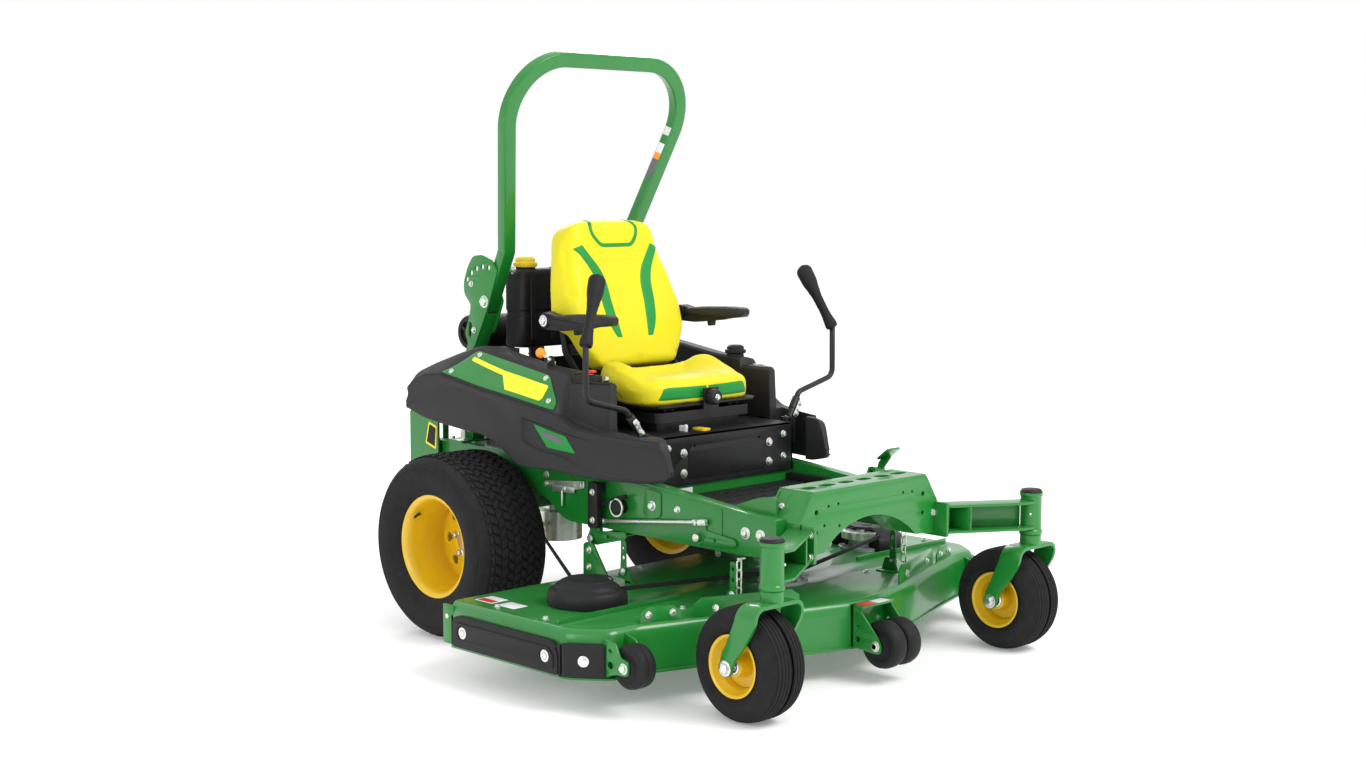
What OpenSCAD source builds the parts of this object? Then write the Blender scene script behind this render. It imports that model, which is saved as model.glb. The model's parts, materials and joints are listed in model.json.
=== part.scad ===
// Zero turn mower. Y stations are counted rearward from the caster spindles, Z from the ground.
// The machine faces -Y. Its left side is +X. Pairs are drawn on the left and mirrored.

/* [Running gear] */
// Distance between the two caster spindles
caster_track = 1216; // [1100:2:1260]
// Caster trail, spindle to wheel axle
caster_trail = 83; // [70:1:90]
// Caster tyre diameter
caster_tyre_d = 330; // [300:2:332]
// Caster tyre width
caster_tyre_w = 160; // [140:2:164]
// Station of the drive axle
drive_y = 1478; // [1460:2:1500]
// Drive tyre diameter
drive_tyre_d = 610; // [580:2:620]
// Drive tyre width
drive_tyre_w = 290; // [240:2:294]
// Middle of the drive tyre from the centreline
drive_x = 537; // [530:1:560]

/* [Frame] */
// Inner face of a frame rail from the centreline
rail_in = 322; // [318:1:326]
// Width of a frame rail
rail_w = 40; // [36:1:44]
// Wall of the frame tubes
rail_wall = 5; // [3:0.5:7]
// Rearmost station of the rear guard
rear_y = 1962; // [1950:1:1990]

/* [Deck] */
// Half width of the deck shell
deck_half = 930; // [920:1:940]
// Height of the deck's top plate at rest
deck_top = 240; // [230:1:244]
// Height of the deck's lower lip at rest
deck_lip = 97; // [90:1:102]
// Rear edge station of the deck
deck_rear = 1020; // [1016:1:1040]
// Sheet thickness of the deck
deck_t = 6; // [4:0.5:8]
// Blade length
blade_l = 608; // [560:2:610]
// Side spindle distance from the centreline
spindle_x = 606; // [604:1:608]
// Station of the side spindles
spindle_side_y = 700; // [696:1:706]
// Station of the middle spindle
spindle_mid_y = 515; // [505:1:518]

/* [Operator station] */
// Height of the roll bar's top
overall_h = 1937; // [1900:1:1960]
// Roll bar tube width seen from the front
bar_w = 51; // [49:0.5:51]
// Roll bar tube depth
bar_d = 40; // [36:1:40]
// Seat cushion half width
seat_half = 250; // [230:1:252]
// Top of the seat box
box_top = 700; // [696:1:701]

/* [Hidden] */
$fn = 48;

green = [0.09, 0.42, 0.14];
black = [0.12, 0.12, 0.13];
grey = [0.28, 0.28, 0.29];
yellow = [0.92, 0.78, 0.08];
seat_yellow = [0.95, 0.9, 0.12];
zinc = [0.72, 0.75, 0.7];
rubber = [0.09, 0.09, 0.09];

// The whole machine is centred on its box, which runs from the caster tyres to the rear guard.
caster_r = caster_tyre_d / 2;
mid_y = (caster_trail - caster_r + rear_y) / 2;
spindle_cx = caster_track / 2;
rail_out = rail_in + rail_w;
run_fit = 0.05;
drive_r = drive_tyre_d / 2;

// ---- helpers ----

module station() translate([0, -mid_y, 0]) children();

module both_sides() {
    children();
    mirror([1, 0, 0]) children();
}

module right_side() mirror([1, 0, 0]) children();

module box(x1, x2, y1, y2, z1, z2) translate([x1, y1, z1]) cube([x2 - x1, y2 - y1, z2 - z1]);

module plate_x(x1, x2) translate([x1, 0, 0]) rotate([90, 0, 90]) linear_extrude(x2 - x1) children();

module plate_y(y1, y2) translate([0, y2, 0]) rotate([90, 0, 0]) linear_extrude(y2 - y1) children();

module plate_z(z1, z2) translate([0, 0, z1]) linear_extrude(z2 - z1) children();

module rod_x(x1, x2, y, z, r) translate([x1, y, z]) rotate([0, 90, 0]) cylinder(r = r, h = x2 - x1);

module rod_y(x, y1, y2, z, r) translate([x, y2, z]) rotate([90, 0, 0]) cylinder(r = r, h = y2 - y1);

module rod_z(x, y, z1, z2, r) translate([x, y, z1]) cylinder(r = r, h = z2 - z1);

module strut(p, q, r) {
    d = q - p;
    translate(p) rotate([0, acos(d[2] / norm(d)), atan2(d[1], d[0])]) cylinder(r = r, h = norm(d));
}

// A turned shape about an axle along X; the profile is radius across, axle along
module turned_x(x, y, z) translate([x, y, z]) rotate([0, 90, 0]) rotate_extrude() children();

module turned_z(x, y, z) translate([x, y, z]) rotate_extrude() children();

module round_square(w, h, r) {
    square([w - 2 * r, h], center = true);
    square([w, h - 2 * r], center = true);
    for (a = [-1, 1], b = [-1, 1]) translate([a * (w / 2 - r), b * (h / 2 - r)]) circle(r = r);
}

// A plan shape with rounded corners made of straight and round pieces
module round_box(x1, x2, y1, y2, z1, z2, r) {
    translate([(x1 + x2) / 2, (y1 + y2) / 2, z1]) linear_extrude(z2 - z1)
        round_square(x2 - x1, y2 - y1, r);
}

module bolt_x(x, y, z, r = 10, out = 8) rod_x(x, x + out, y, z, r, $fn = 6);

module bolt_y(x, y, z, r = 9, out = 7) rod_y(x, y - out, y, z, r);

// ---- frame ----

lift_y = 523;
lift_z = 428;
rear_lift_y = 1003;
rear_lift_z = 362;
lift_r = 14;
rail_side = [[212, 400], [212, 519], [360, 527], [660, 558], [1150, 600], [1900, 600],
    [1900, 470], [1250, 470], [1150, 400], [660, 396], [360, 396]];
rail_hollow = [[212 + rail_wall, 405], [217, 514], [360, 522], [660, 553], [1150, 595],
    [1895, 595], [1895, 475], [1248, 475], [1148, 405], [660, 401], [360, 401]];
rail_bolt_y = [272, 333];
pedal_y = 446;
pedal_z = 560;
pedal_pin_r = 8;

// The left one also carries the pin of the deck lift pedal
module frame_rails() {
    both_sides() frame_rail();
    station() color(green) {
        plate_x(rail_out - 12, rail_out - 4) polygon([[418, 528], [474, 532], [460, 578], [432, 578]]);
        rod_x(rail_out - 12, 410, pedal_y, pedal_z, pedal_pin_r);
        rod_x(404.5, 410, pedal_y, pedal_z, 13);
    }
}

module frame_rail() station() color(green) {
    difference() {
        plate_x(rail_in, rail_out) polygon(rail_side);
        plate_x(rail_in + rail_wall, rail_out - rail_wall) polygon(rail_hollow);
        rod_x(rail_in - 1, rail_out + 1, lift_y, lift_z, lift_r + run_fit);
    }
    for (y = rail_bolt_y) {
        rod_x(rail_out, rail_out + 4, y, 465, 16);
        bolt_x(rail_out + 4, y, 465, 11, 8);
    }
    // hanger of the rear lift shaft
    difference() {
        plate_x(rail_in + 4, rail_in + 14)
            polygon([[975, 400], [1035, 401], [1022, 340], [984, 340]]);
        rod_x(rail_in, rail_in + 20, rear_lift_y, rear_lift_z, lift_r + run_fit);
    }
}

beam_top = 596;
beam_y1 = 155;
beam_y2 = 290;
beam_half = 300;
arch_r = 316;
arch_rise_z = 497;

module beam_face(inset) {
    difference() {
        polygon([[-beam_half + inset, 396 + inset], [-beam_half + inset, 560],
            [-270 + inset, beam_top - inset], [270 - inset, beam_top - inset],
            [beam_half - inset, 560], [beam_half - inset, 396 + inset]]);
        translate([0, arch_rise_z - arch_r + inset]) circle(r = arch_r, $fn = 96);
    }
}

module front_crossmember() station() color(green) {
    difference() {
        plate_y(beam_y1, beam_y2) beam_face(0);
        plate_y(beam_y1 + 7, beam_y2 - 7) beam_face(7);
        for (i = [-2.5 : 1 : 2.5]) for (e = [-14, 14])
            rod_z(i * 88 + e, 222, beam_top - 10, beam_top + 1, 19);
        for (i = [-2.5 : 1 : 2.5]) box(i * 88 - 14, i * 88 + 14, 203, 241, beam_top - 10, beam_top + 1);
        for (x = [-250, 250]) rod_y(x, beam_y1 - 1, beam_y1 + 10, 535, 9);
        for (x = [-250, 250]) rod_y(x, beam_y1 - 1, beam_y1 + 10, 475, 7);
    }
    // gussets down to the rails
    both_sides() plate_x(rail_in - 8, rail_in) polygon([[beam_y2 - 40, beam_top - 20],
        [beam_y2 + 30, beam_top - 26], [430, 530], [430, 440], [beam_y2 - 40, 400]]);
    both_sides() box(beam_half - 2, rail_in, 208, beam_y2, 405, 575);
    // riser under the seat box
    difference() {
        box(-rail_in, rail_in, 772, 778, 430, 540);
        for (x = [-200, 0, 200]) rod_y(x, 765, 785, 450, 12);
    }
}

house_r = 34;
house_z1 = 385;
house_z2 = 518;
fork_pin_r = 22;

module caster_arm() station() color(green) {
    arm = [[beam_half + 10, 116], [beam_half + 10, 196], [spindle_cx - 20, 34],
        [spindle_cx - 20, -30], [spindle_cx - 60, -26]];
    web = [[beam_half + 10, 132], [beam_half + 10, 142], [spindle_cx - 20, 6], [spindle_cx - 20, -6]];
    difference() {
        union() {
            plate_z(404, 412) polygon(arm);
            plate_z(486, 494) polygon(arm);
            plate_z(411, 487) polygon(web);
            rod_z(spindle_cx, 0, house_z1, house_z2, house_r);
            rod_z(spindle_cx, 0, house_z1, house_z1 + 12, house_r + 3);
            box(beam_half, beam_half + 12, 105, 206, 396, 504);
            plate_x(beam_half + 60, beam_half + 68) polygon([[88, 404], [150, 404], [150, 494], [88, 494]]);
        }
        rod_z(spindle_cx, 0, house_z1 - 1, house_z2 + 1, fork_pin_r + run_fit);
    }
    for (y = [118, 192], z = [410, 490]) bolt_x(beam_half + 12, y, z, 9, 7);
    // grease cap
    rod_z(spindle_cx, 0, house_z2, house_z2 + 3, house_r + 1);
    turned_z(spindle_cx, 0, house_z2 + 3) polygon([[0, 0], [house_r - 1, 0], [house_r - 4, 6], [0, 9]]);
}

hitch_r = 9.5;

module rear_frame() station() color(green) {
    difference() {
        box(-rail_in, rail_in, 1380, 1900, 404, 412);
        rod_z(0, 1600, 400, 420, 60);
        rod_z(0, 1800, 400, 420, 30);
    }
    both_sides() {
        box(rail_in - 8, rail_in, 1380, 1900, 412, 500);
        box(rail_in, rail_out, 1900, 1912, 404, 600);
        plate_x(374, 382) polygon([[1800, 480], [rear_y, 480], [rear_y, 690],
            [1945, 710], [1800, 710]]);
        box(rail_out, 382, 1902, 1912, 480, 700);
    }
    difference() {
        box(-374, 374, 1912, rear_y - 30, 480, 530);
        box(-368, 368, 1917, rear_y - 35, 485, 525);
    }
    // hitch plate
    difference() {
        box(-50, 50, 1900, rear_y, 470, 480);
        rod_z(0, rear_y - 16, 460, 490, hitch_r);
    }
    box(-374, 374, rear_y - 36, rear_y - 12, 664, 704);
    for (x = [-250, -125, 0, 125, 250]) box(x - 12, x + 12, rear_y - 36, rear_y - 30, 520, 670);
    // front cross tube between the rails
    difference() {
        rod_x(-rail_in, rail_in, 1290, 510, 24);
        rod_x(-rail_in + 5, rail_in - 5, 1290, 510, 19);
    }
}

module footrest() station() color(black) {
    difference() {
        box(-rail_in + 9, rail_in - 9, 292, 770, 500, 506);
        for (x = [-220 : 55 : 220], y = [420 : 60 : 720]) rod_z(x, y, 495, 510, 9);
    }
    both_sides() {
        difference() {
            plate_x(60, 290) polygon([[300, 506], [300, 560], [330, 562], [470, 506]]);
            plate_x(66, 284) polygon([[306, 500], [306, 553], [328, 556], [444, 509], [444, 500]]);
        }
        box(292, rail_in - 9, 292, 770, 506, 530);
    }
}

pivot_x = 333;
pivot_y = 800;
pivot_z = 650;
hinge_z = 700;
lever_pin_r = 12;

module seat_box() station() color(black) {
    difference() {
        box(-315, 315, 762, 1330, 540, box_top);
        box(-309, 309, 768, 1324, 530, box_top - 6);
        for (x = [-198.5, 198.5], z = [578, 643]) rod_y(x, 755, 770, z, 7);
        rod_x(-320, 320, pivot_y, pivot_z, lever_pin_r + run_fit);
    }
    for (x = [-198.5, 198.5], z = [578, 643]) bolt_y(x, 762.5, z, 11, 8);
    for (x = [-268, 268]) bolt_y(x, 762.5, 664, 10, 7);
    // fixed half of the seat suspension
    round_box(-188, 188, 885, 1200, box_top, box_top + 26, 20);
    // bulkhead behind the seat, with its shelf
    difference() {
        box(-300, 300, 1440, 1446, 600, 905);
        box(-60, 60, 1430, 1450, 640, 700);
    }
    both_sides() box(270, 300, 1330, 1440, 640, 646);
    // seat latch tag and tie down
    box(-70, -40, 800, 850, box_top, box_top + 6);
    rod_y(-120, 826, 852, box_top + 12, 6);
    box(-126, -114, 846, 857, box_top, box_top + 18);
}

arch_clear = 66;
fender_in = 352;
fender_out = 520;
nose_y = 906;
fender_side = concat([[nose_y, 700], [960, 866], [1046, 894], [1180, 906], [1440, 958], [1530, 944],
    [1745, 858], [1796, 800], [1798, 726], [1662, 696]],
    [for (a = [62 : 8 : 134]) [drive_y + (drive_r + arch_clear) * cos(a),
        drive_r + (drive_r + arch_clear) * sin(a)]],
    [[1180, 590], [1124, 590], [nose_y, 578]]);
nose_side = [[646, 600], [656, 578], [705, 571], [nose_y, 578], [nose_y, 722], [868, 717],
    [686, 700], [662, 661]];

// Seen from above, the fender draws in toward the seat box at its front
module fender_plan() polygon([[fender_in - 1, 600], [352, 600], [378, 650], [425, 750], [463, 850],
    [490, 950], [507, 1050], [516, 1150], [fender_out, 1220], [fender_out, 1900],
    [fender_in - 1, 1900]]);

module fender_cut() {
    // the outer edge leans inward above the wheel arch
    translate([0, 1503, 846]) rotate([8.8, 0, 0]) translate([0, 1200, 0]) rotate([90, 0, 0])
        linear_extrude(2400) polygon([[fender_out - 8, 0], [100, 420], [700, 420], [700, 0]]);
    // room over the rail
    box(fender_in - 10, rail_out, 600, 1300, 500, 601);
}

module fender() {
    difference() {
        intersection() {
            plate_x(fender_in, fender_out) polygon(fender_side);
            plate_z(500, 1000) fender_plan();
        }
        fender_cut();
        // hollow of the tank
        plate_x(fender_in + 8, 424) polygon([[1010, 640], [1010, 860], [1180, 880], [1440, 930],
            [1520, 918], [1700, 846], [1700, 760], [1480, 700], [1300, 700], [1180, 640]]);
        plate_x(430, 498) polygon([[1060, 640], [1060, 715], [1180, 760], [1440, 800], [1700, 800],
            [1740, 780], [1740, 740], [1480, 700], [1300, 700], [1180, 640]]);
    }
    // foot on the rail
    box(fender_in, rail_out, 1160, 1190, 600, 606);
    // green inset panel on the sloped face
    translate([fender_out - 8, 1503, 846]) rotate([8.8, 0, 0]) rotate([0, -45.7, 0])
        translate([0, -1503, 0]) plate_x(-1, 4) polygon([[1050, 14], [1150, 118], [1500, 118],
            [1605, 14]]);
}

// Front part of a fender, open at the top for the steering lever
module fender_nose() station() color(grey) difference() {
    intersection() {
        plate_x(fender_in, fender_out) polygon(nose_side);
        plate_z(500, 1000) fender_plan();
    }
    box(fender_in - 10, 406, 740, nose_y - 6, 620, 1000);
    box(fender_in - 10, rail_out, 600, 1250, 500, 601);
}

throttle = [1186, 926];
throttle_x = 398;
throttle_pin_r = 4;
pto = [392, 985];
pto_stem_r = 6;
fuel = [392, 1104];

module fender_with_controls() station() color(grey) right_side() {
    difference() {
        union() {
            fender();
            rod_z(pto[0], pto[1], 860, 882, 14);
        }
        rod_z(pto[0], pto[1], 855, 890, pto_stem_r + run_fit);
    }
    // throttle bracket and its pin
    plate_x(throttle_x - 16, throttle_x - 10) polygon([[1166, 895], [1206, 900], [1196, 936], [1176, 936]]);
    rod_x(throttle_x - 12, throttle_x + 11, throttle[0], throttle[1], throttle_pin_r);
    rod_x(throttle_x + 8.5, throttle_x + 11, throttle[0], throttle[1], 8);
}

module fender_with_filler() station() color(grey) {
    fender();
    rod_z(fuel[0], fuel[1], 880, 904.5, 30);
}

// ---- drive ----

engine_y = 1600;

module engine_block() station() color(zinc) {
    difference() {
        union() {
            round_box(-150, 150, engine_y - 150, engine_y + 150, 412, 470, 40);
            round_box(-130, 130, engine_y - 130, engine_y + 130, 470, 640, 50);
            for (s = [-1, 1]) translate([s * 70, engine_y + 40, 560]) rotate([0, 0, s * -45]) {
                translate([-60, 0, -75]) cube([120, 170, 150]);
                for (i = [0 : 6]) translate([-68, 70 + i * 15, -85]) cube([136, 6, 170]);
            }
        }
        rod_z(0, engine_y, 400, 470, 16 + run_fit);
    }
    rod_z(0, engine_y, 640, 668, 40);
}

module blower_housing() station() color(black) {
    difference() {
        union() {
            round_box(-190, 190, engine_y - 140, engine_y + 200, 668, 760, 60);
            rod_z(0, engine_y, 760, 800, 128);
        }
        round_box(-184, 184, engine_y - 134, engine_y + 194, 660, 754, 56);
        rod_z(0, engine_y, 740, 794, 120);
        for (a = [0 : 20 : 340], r = [45, 70, 95]) translate([r * cos(a), engine_y + r * sin(a), 780])
            cylinder(r = 7, h = 30);
    }
    // shelf that the rear tank stands on
    box(-215, 80, 1545, 1650, 800, 806);
    for (x = [-213, 74]) box(x, x + 4, 1560, 1640, 760, 930);
}

module muffler() station() color(zinc) {
    rod_x(-190, 190, 1876, 590, 40);
    for (x = [-192, 188]) rod_x(x, x + 4, 1876, 590, 43);
    rod_y(165, 1900, 1936, 575, 17);
    both_sides() rod_y(30, 1730, 1850, 590, 14);
    both_sides() box(160, 172, 1856, 1890, 412, 560);
}

module air_cleaner() station() color(black) {
    rod_x(-228, 70, 1815, 970, 62);
    turned_x(-236, 1815, 970) polygon([[0, 0], [50, 0], [60, 8], [0, 8]]);
    rod_x(-200, -194, 1815, 970, 66);
    rod_x(70, 90, 1815, 970, 40);
    // foot and intake duct
    box(-120, -40, 1790, 1840, 762, 912);
    rod_z(45, 1770, 760, 970, 30);
}

module hydro_drives() station() color(grey) both_sides() {
    round_box(250, 318, 1405, 1550, 235, 385, 18);
    rod_x(318, 396, drive_y, drive_r, 74);
    rod_x(396, 441, drive_y, drive_r, 20);
    box(rail_in + 6, rail_in + 14, 1404, 1552, 366, 470);
    rod_z(284, 1450, 385, 404, 32);
    for (a = [45 : 90 : 315]) rod_x(390, 399, drive_y + 58 * cos(a), drive_r + 58 * sin(a), 8);
}

module engine_pulley() station() color(zinc) {
    rod_z(0, engine_y, 226, 460, 16);
    rod_z(0, engine_y, 236, 340, pulley_engine_r);
    rod_z(0, engine_y, 345, 392, 56);
}

// ---- roll bar ----

bar_lean = 18.4;
bar_splay = 13.8;
knee = [1529, 1260];
hoop_pivot = [1632, 1091];
leg_in = 246.5;
hoop_top_s = (overall_h - bar_d * sin(bar_lean) - knee[1]) / cos(bar_lean);
corner_r = 223;
leg_out = leg_in + 0.5 + bar_w / cos(bar_splay);
corner_x = leg_out + hoop_top_s * tan(bar_splay);
corner_t = corner_r * tan(45 + bar_splay / 2);

module hoop_half() {
    c = [corner_x - corner_t, hoop_top_s - corner_r];
    n = [cos(bar_splay), -sin(bar_splay)];
    e = c + corner_r * n;
    polygon([[leg_out, 0], e, e - bar_w * n, [leg_out - bar_w / cos(bar_splay), 0]]);
    translate(c) intersection() {
        difference() {
            circle(r = corner_r, $fn = 96);
            circle(r = corner_r - bar_w, $fn = 96);
        }
        polygon([[0, 0], 2 * corner_r * n, [2 * corner_r, 2 * corner_r], [0, 2 * corner_r]]);
    }
    translate([-1, hoop_top_s - bar_w]) square([c[0] + 1, bar_w]);
}

module roll_bar_hoop() station() color(green) {
    translate([0, knee[0], knee[1]]) rotate([bar_lean, 0, 0]) plate_y(0, bar_d)
        union() {
            hoop_half();
            mirror([1, 0]) hoop_half();
        }
    both_sides() difference() {
        plate_x(leg_in, leg_in + bar_w) polygon([[1524, 1271], knee, [1627, 1055], [1663, 1072],
            [knee[0] + bar_d * cos(bar_lean), knee[1] + bar_d * sin(bar_lean)], [1562, 1284]]);
        rod_x(leg_in - 1, leg_in + bar_w + 1, hoop_pivot[0], hoop_pivot[1], 10 + run_fit);
    }
    // lock plungers, drawn back
    both_sides() {
        rod_x(leg_in - 14, leg_in, 1580, 1199, 13);
        rod_x(leg_in - 30, leg_in - 14, 1580, 1199, 7);
    }
}

module roll_bar_base() station() color(green) both_sides() {
    difference() {
        union() {
            plate_x(leg_in - 1, leg_in + bar_w + 1) polygon([[1632, 1044], [1710, 880],
                [1710, 608], [1755, 608], [1755, 890], [1668, 1062]]);
            // hinge cheeks, the outer one with its row of lock holes
            plate_x(leg_in - 7, leg_in - 1) {
                polygon([[1612, 1086], [1655, 986], [1712, 1000], [1664, 1108]]);
                translate(hoop_pivot) circle(r = 32);
            }
            plate_x(leg_in + bar_w + 1, leg_in + bar_w + 7)
                polygon([[1576, 1160], [1562, 1196], [1590, 1232], [1640, 1250], [1694, 1244],
                    [1722, 1206], [1744, 1150], [1740, 1112], [1706, 1078], [1716, 1030],
                    [1738, 980], [1712, 920], [1690, 930]]);
            box(238, rail_out, 1690, 1775, 600, 608);
            plate_x(leg_in - 7, leg_in + 4) polygon([[1745, 604], [1820, 604], [1820, 608],
                [1755, 720], [1745, 720]]);
        }
        for (a = [38, 54, 70, 86, 102]) rod_x(leg_in + bar_w, leg_in + bar_w + 8,
            hoop_pivot[0] + 120 * cos(a), hoop_pivot[1] + 120 * sin(a), 9);
        for (y = [1700, 1765], x = [rail_in + 20]) rod_z(x, y, 595, 612, 7);
    }
    // pivot bolt
    rod_x(leg_in - 16, leg_in + bar_w + 14, hoop_pivot[0], hoop_pivot[1], 10);
    bolt_x(leg_in + bar_w + 7, hoop_pivot[0], hoop_pivot[1], 17, 9);
    bolt_x(leg_in - 15, hoop_pivot[0], hoop_pivot[1], 17, 8);
}

module rear_tank() station() color(black) {
    difference() {
        round_box(-205, 68, 1545, 1650, 930, 1200, 18);
        round_box(-200, 63, 1550, 1645, 935, 1195, 14);
    }
    rod_z(-150, 1597, 1196, 1206, 34);
}

module tank_cap() station() color(yellow) {
    rod_z(-150, 1597, 1206.5, 1222, 42);
    rod_z(-150, 1597, 1222, 1236, 36);
    rod_z(-150, 1597, 1236, 1243, 30);
}

module fuel_cap() station() color(black) {
    rod_z(fuel[0], fuel[1], 905, 928, 37);
    rod_z(fuel[0], fuel[1], 928, 934, 31);
    for (a = [0 : 15 : 345]) rod_z(fuel[0] + 36 * cos(a), fuel[1] + 36 * sin(a), 907, 926, 3);
}

// ---- seat ----

module suspension_carriage() station() color(black) {
    difference() {
        round_box(-214, 214, 862, 1222, box_top + 29, box_top + 62, 24);
        round_box(-198, 198, 876, 1210, box_top + 20, box_top + 57, 22);
    }
    for (x = [-150, 150]) box(x - 12, x + 12, 900, 1190, box_top + 62, box_top + 68);
}

back_pivot = [1215, 850];

module seat_pan() station() color(black) {
    for (x = [-150, 150]) difference() {
        box(x - 22, x + 22, 880, 1180, box_top + 65, box_top + 80);
        box(x - 13, x + 13, 870, 1190, box_top + 60, box_top + 69);
    }
    round_box(-226, 226, 846, 1212, box_top + 80, box_top + 85, 30);
    box(-34, 34, 836, 841, box_top + 63, 834);
    box(-34, 34, 836, 860, box_top + 78, box_top + 83);
    rod_y(0, 814, 838, 804, 5);
    both_sides() {
        plate_x(232, 238) difference() {
            polygon([[1160, 781], [1245, 781], [1245, 866], [1190, 872]]);
            translate(back_pivot) circle(r = 8 + run_fit);
        }
        box(220, 238, 1160, 1212, box_top + 80, box_top + 85);
        rod_x(221, 246, back_pivot[0], back_pivot[1], 8);
        bolt_x(238, back_pivot[0], back_pivot[1], 14, 8);
    }
}

module seat_cushion() station() color(seat_yellow)
    round_box(-seat_half, seat_half, 843, 1154, box_top + 86, 872, 40);

module weight_knob() station() color(grey) difference() {
    union() {
        rod_y(0, 812, 835.5, 804, 26);
        rod_y(0, 806, 812, 804, 20);
    }
    rod_y(0, 800, 840, 804, 5 + run_fit);
}

back_lean = 17;
back_h = 536;
back_face = [[170, 0], [214, 50], [258, 140], [265, 220], [236, 320], [200, 400], [168, 500],
    [118, back_h], [-118, back_h], [-168, 500], [-200, 400], [-236, 320], [-265, 220],
    [-258, 140], [-214, 50], [-170, 0]];

module on_back(depth) translate([0, 1164, 878]) rotate([-back_lean, 0, 0])
    translate([0, depth, 0]) children();

module seat_back_cushion() station() color(seat_yellow)
    on_back(0) plate_y(0, 84) polygon(back_face);

module seat_back_shell() station() color(black) {
    on_back(84.5) plate_y(0, 16) translate([0, 12]) scale(0.94) polygon(back_face);
    both_sides() {
        difference() {
            plate_x(222, 231) polygon([[1200, 836], [1230, 836], [1310, 930], [1324, 1010],
                [1302, 1010], [1284, 940], [1236, 880], [1200, 866]]);
            rod_x(220, 240, back_pivot[0], back_pivot[1], 8 + run_fit);
        }
        // armrest bracket
        plate_x(268, 278) polygon([[1262, 1028], [1300, 1028], [1332, 1040], [1332, 1070], [1262, 1062]]);
        box(200, 278, 1312, 1332, 1040, 1070);
        rod_x(277, 344, arm_pivot[0], arm_pivot[1], 10);
        bolt_x(334.5, arm_pivot[0], arm_pivot[1], 16, 10);
    }
}

arm_pivot = [1283, 1045];

module armrest() station() color(grey) {
    difference() {
        union() {
            plate_x(286, 332) {
                polygon([[1283, 1017], [1283, 1070], [1230, 1062], [985, 1062], [985, 1036],
                    [1090, 1020], [1200, 1014]]);
                translate(arm_pivot) circle(r = 28);
            }
            round_box(274, 334, 967, 1240, 1058, 1076, 28);
        }
        rod_x(280, 340, arm_pivot[0], arm_pivot[1], 10 + run_fit);
    }
}

// ---- controls ----

module lever_pivot() station() color(black) {
    box(pivot_x - 12, pivot_x + 12, pivot_y - 22, pivot_y + 22, pivot_z - 24, hinge_z - 18);
    for (y = [pivot_y - 22, pivot_y + 14])
        box(pivot_x - 12, pivot_x + 12, y, y + 8, hinge_z - 20, hinge_z + 12);
    rod_y(pivot_x, pivot_y - 28, pivot_y + 28, hinge_z, 8);
    // shaft in the wall of the seat box
    rod_x(300, pivot_x, pivot_y, pivot_z, lever_pin_r);
}

lever_path = [[385, 810, 770], [401, 813, 792], [570, 810, 836], [569, 811, 1014]];
grip_start = [569, 811, 1003];
grip_end = [470, 864, 1212];
lever_r = 9.5;

// Places a shape drawn along Z so that it runs from p towards q
module along(p, q) {
    d = q - p;
    translate(p) rotate([0, acos(d[2] / norm(d)), atan2(d[1], d[0])]) children();
}

module lever() station() color(black) {
    difference() {
        union() {
            rod_y(pivot_x, pivot_y - 13, pivot_y + 13, hinge_z, 16);
            strut([pivot_x + 8, 801, hinge_z + 10], [387, 811, 773], 12);
        }
        rod_y(pivot_x, pivot_y - 30, pivot_y + 30, hinge_z, 8 + run_fit);
    }
    for (i = [0 : 2]) strut(lever_path[i], lever_path[i + 1], lever_r);
    for (i = [1 : 2]) translate(lever_path[i]) sphere(r = lever_r + 2.5);
    along(grip_start, grip_end) rotate_extrude()
        polygon([[0, 0], [21, 0], [21, 14], [17, 22], [16, 150], [23, 172], [24, 200], [17, 222], [0, 226]]);
}

module throttle_lever() station() color("orange") {
    strut([-throttle_x, throttle[0] + 6, throttle[1] + 3], [-throttle_x, 1218, 943], 4);
    translate([-throttle_x, 1224, 946]) sphere(r = 17);
    difference() {
        rod_x(-throttle_x - 8, -throttle_x + 8, throttle[0], throttle[1], 9);
        rod_x(-throttle_x - 12, -throttle_x + 12, throttle[0], throttle[1], throttle_pin_r + run_fit);
    }
}

module pto_knob() station() color("red") {
    rod_z(-pto[0], pto[1], 864, 894, pto_stem_r);
    rod_z(-pto[0], pto[1], 894, 902, 17);
    rod_z(-pto[0], pto[1], 902, 906, 13);
}

// ---- deck ----

deck_front = [[0, 158], [60, 160], [225, 207], [573, 335], [739, 388], [850, 395], [930, 500]];

deck_outline = concat(deck_front, [[deck_half, deck_rear], [-deck_half, deck_rear]],
    [for (i = [len(deck_front) - 1 : -1 : 1]) [-deck_front[i][0], deck_front[i][1]]]);

function unit(v) = v / norm(v);
// A point of a closed outline moved inward by t, with its corner kept sharp
function inset_point(a, b, c, t) = let (u = unit(b - a), v = unit(c - b), n1 = [-u[1], u[0]],
    m = unit(n1 + [-v[1], v[0]])) b + m * t / (m * n1);
function inset(pts, t) = let (n = len(pts)) [for (i = [0 : n - 1])
    inset_point(pts[(i + n - 1) % n], pts[i], pts[(i + 1) % n], t)];

spindles = [[-spindle_x, spindle_side_y], [0, spindle_mid_y], [spindle_x, spindle_side_y]];
gauge_x = 830;
gauge_y = 316;
gauge_z = 150;
gauge_r = 64;
roller_y = 70;
roller_z = 120;
roller_r = 73;

module ear(x, t, y, z, back, low, high, r, pin) plate_x(x, x + t) difference() {
    union() {
        polygon([[y, z - r], [y, z + r], [back, high], [back, low]]);
        translate([y, z]) circle(r = r);
    }
    translate([y, z]) circle(r = pin);
}

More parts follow.
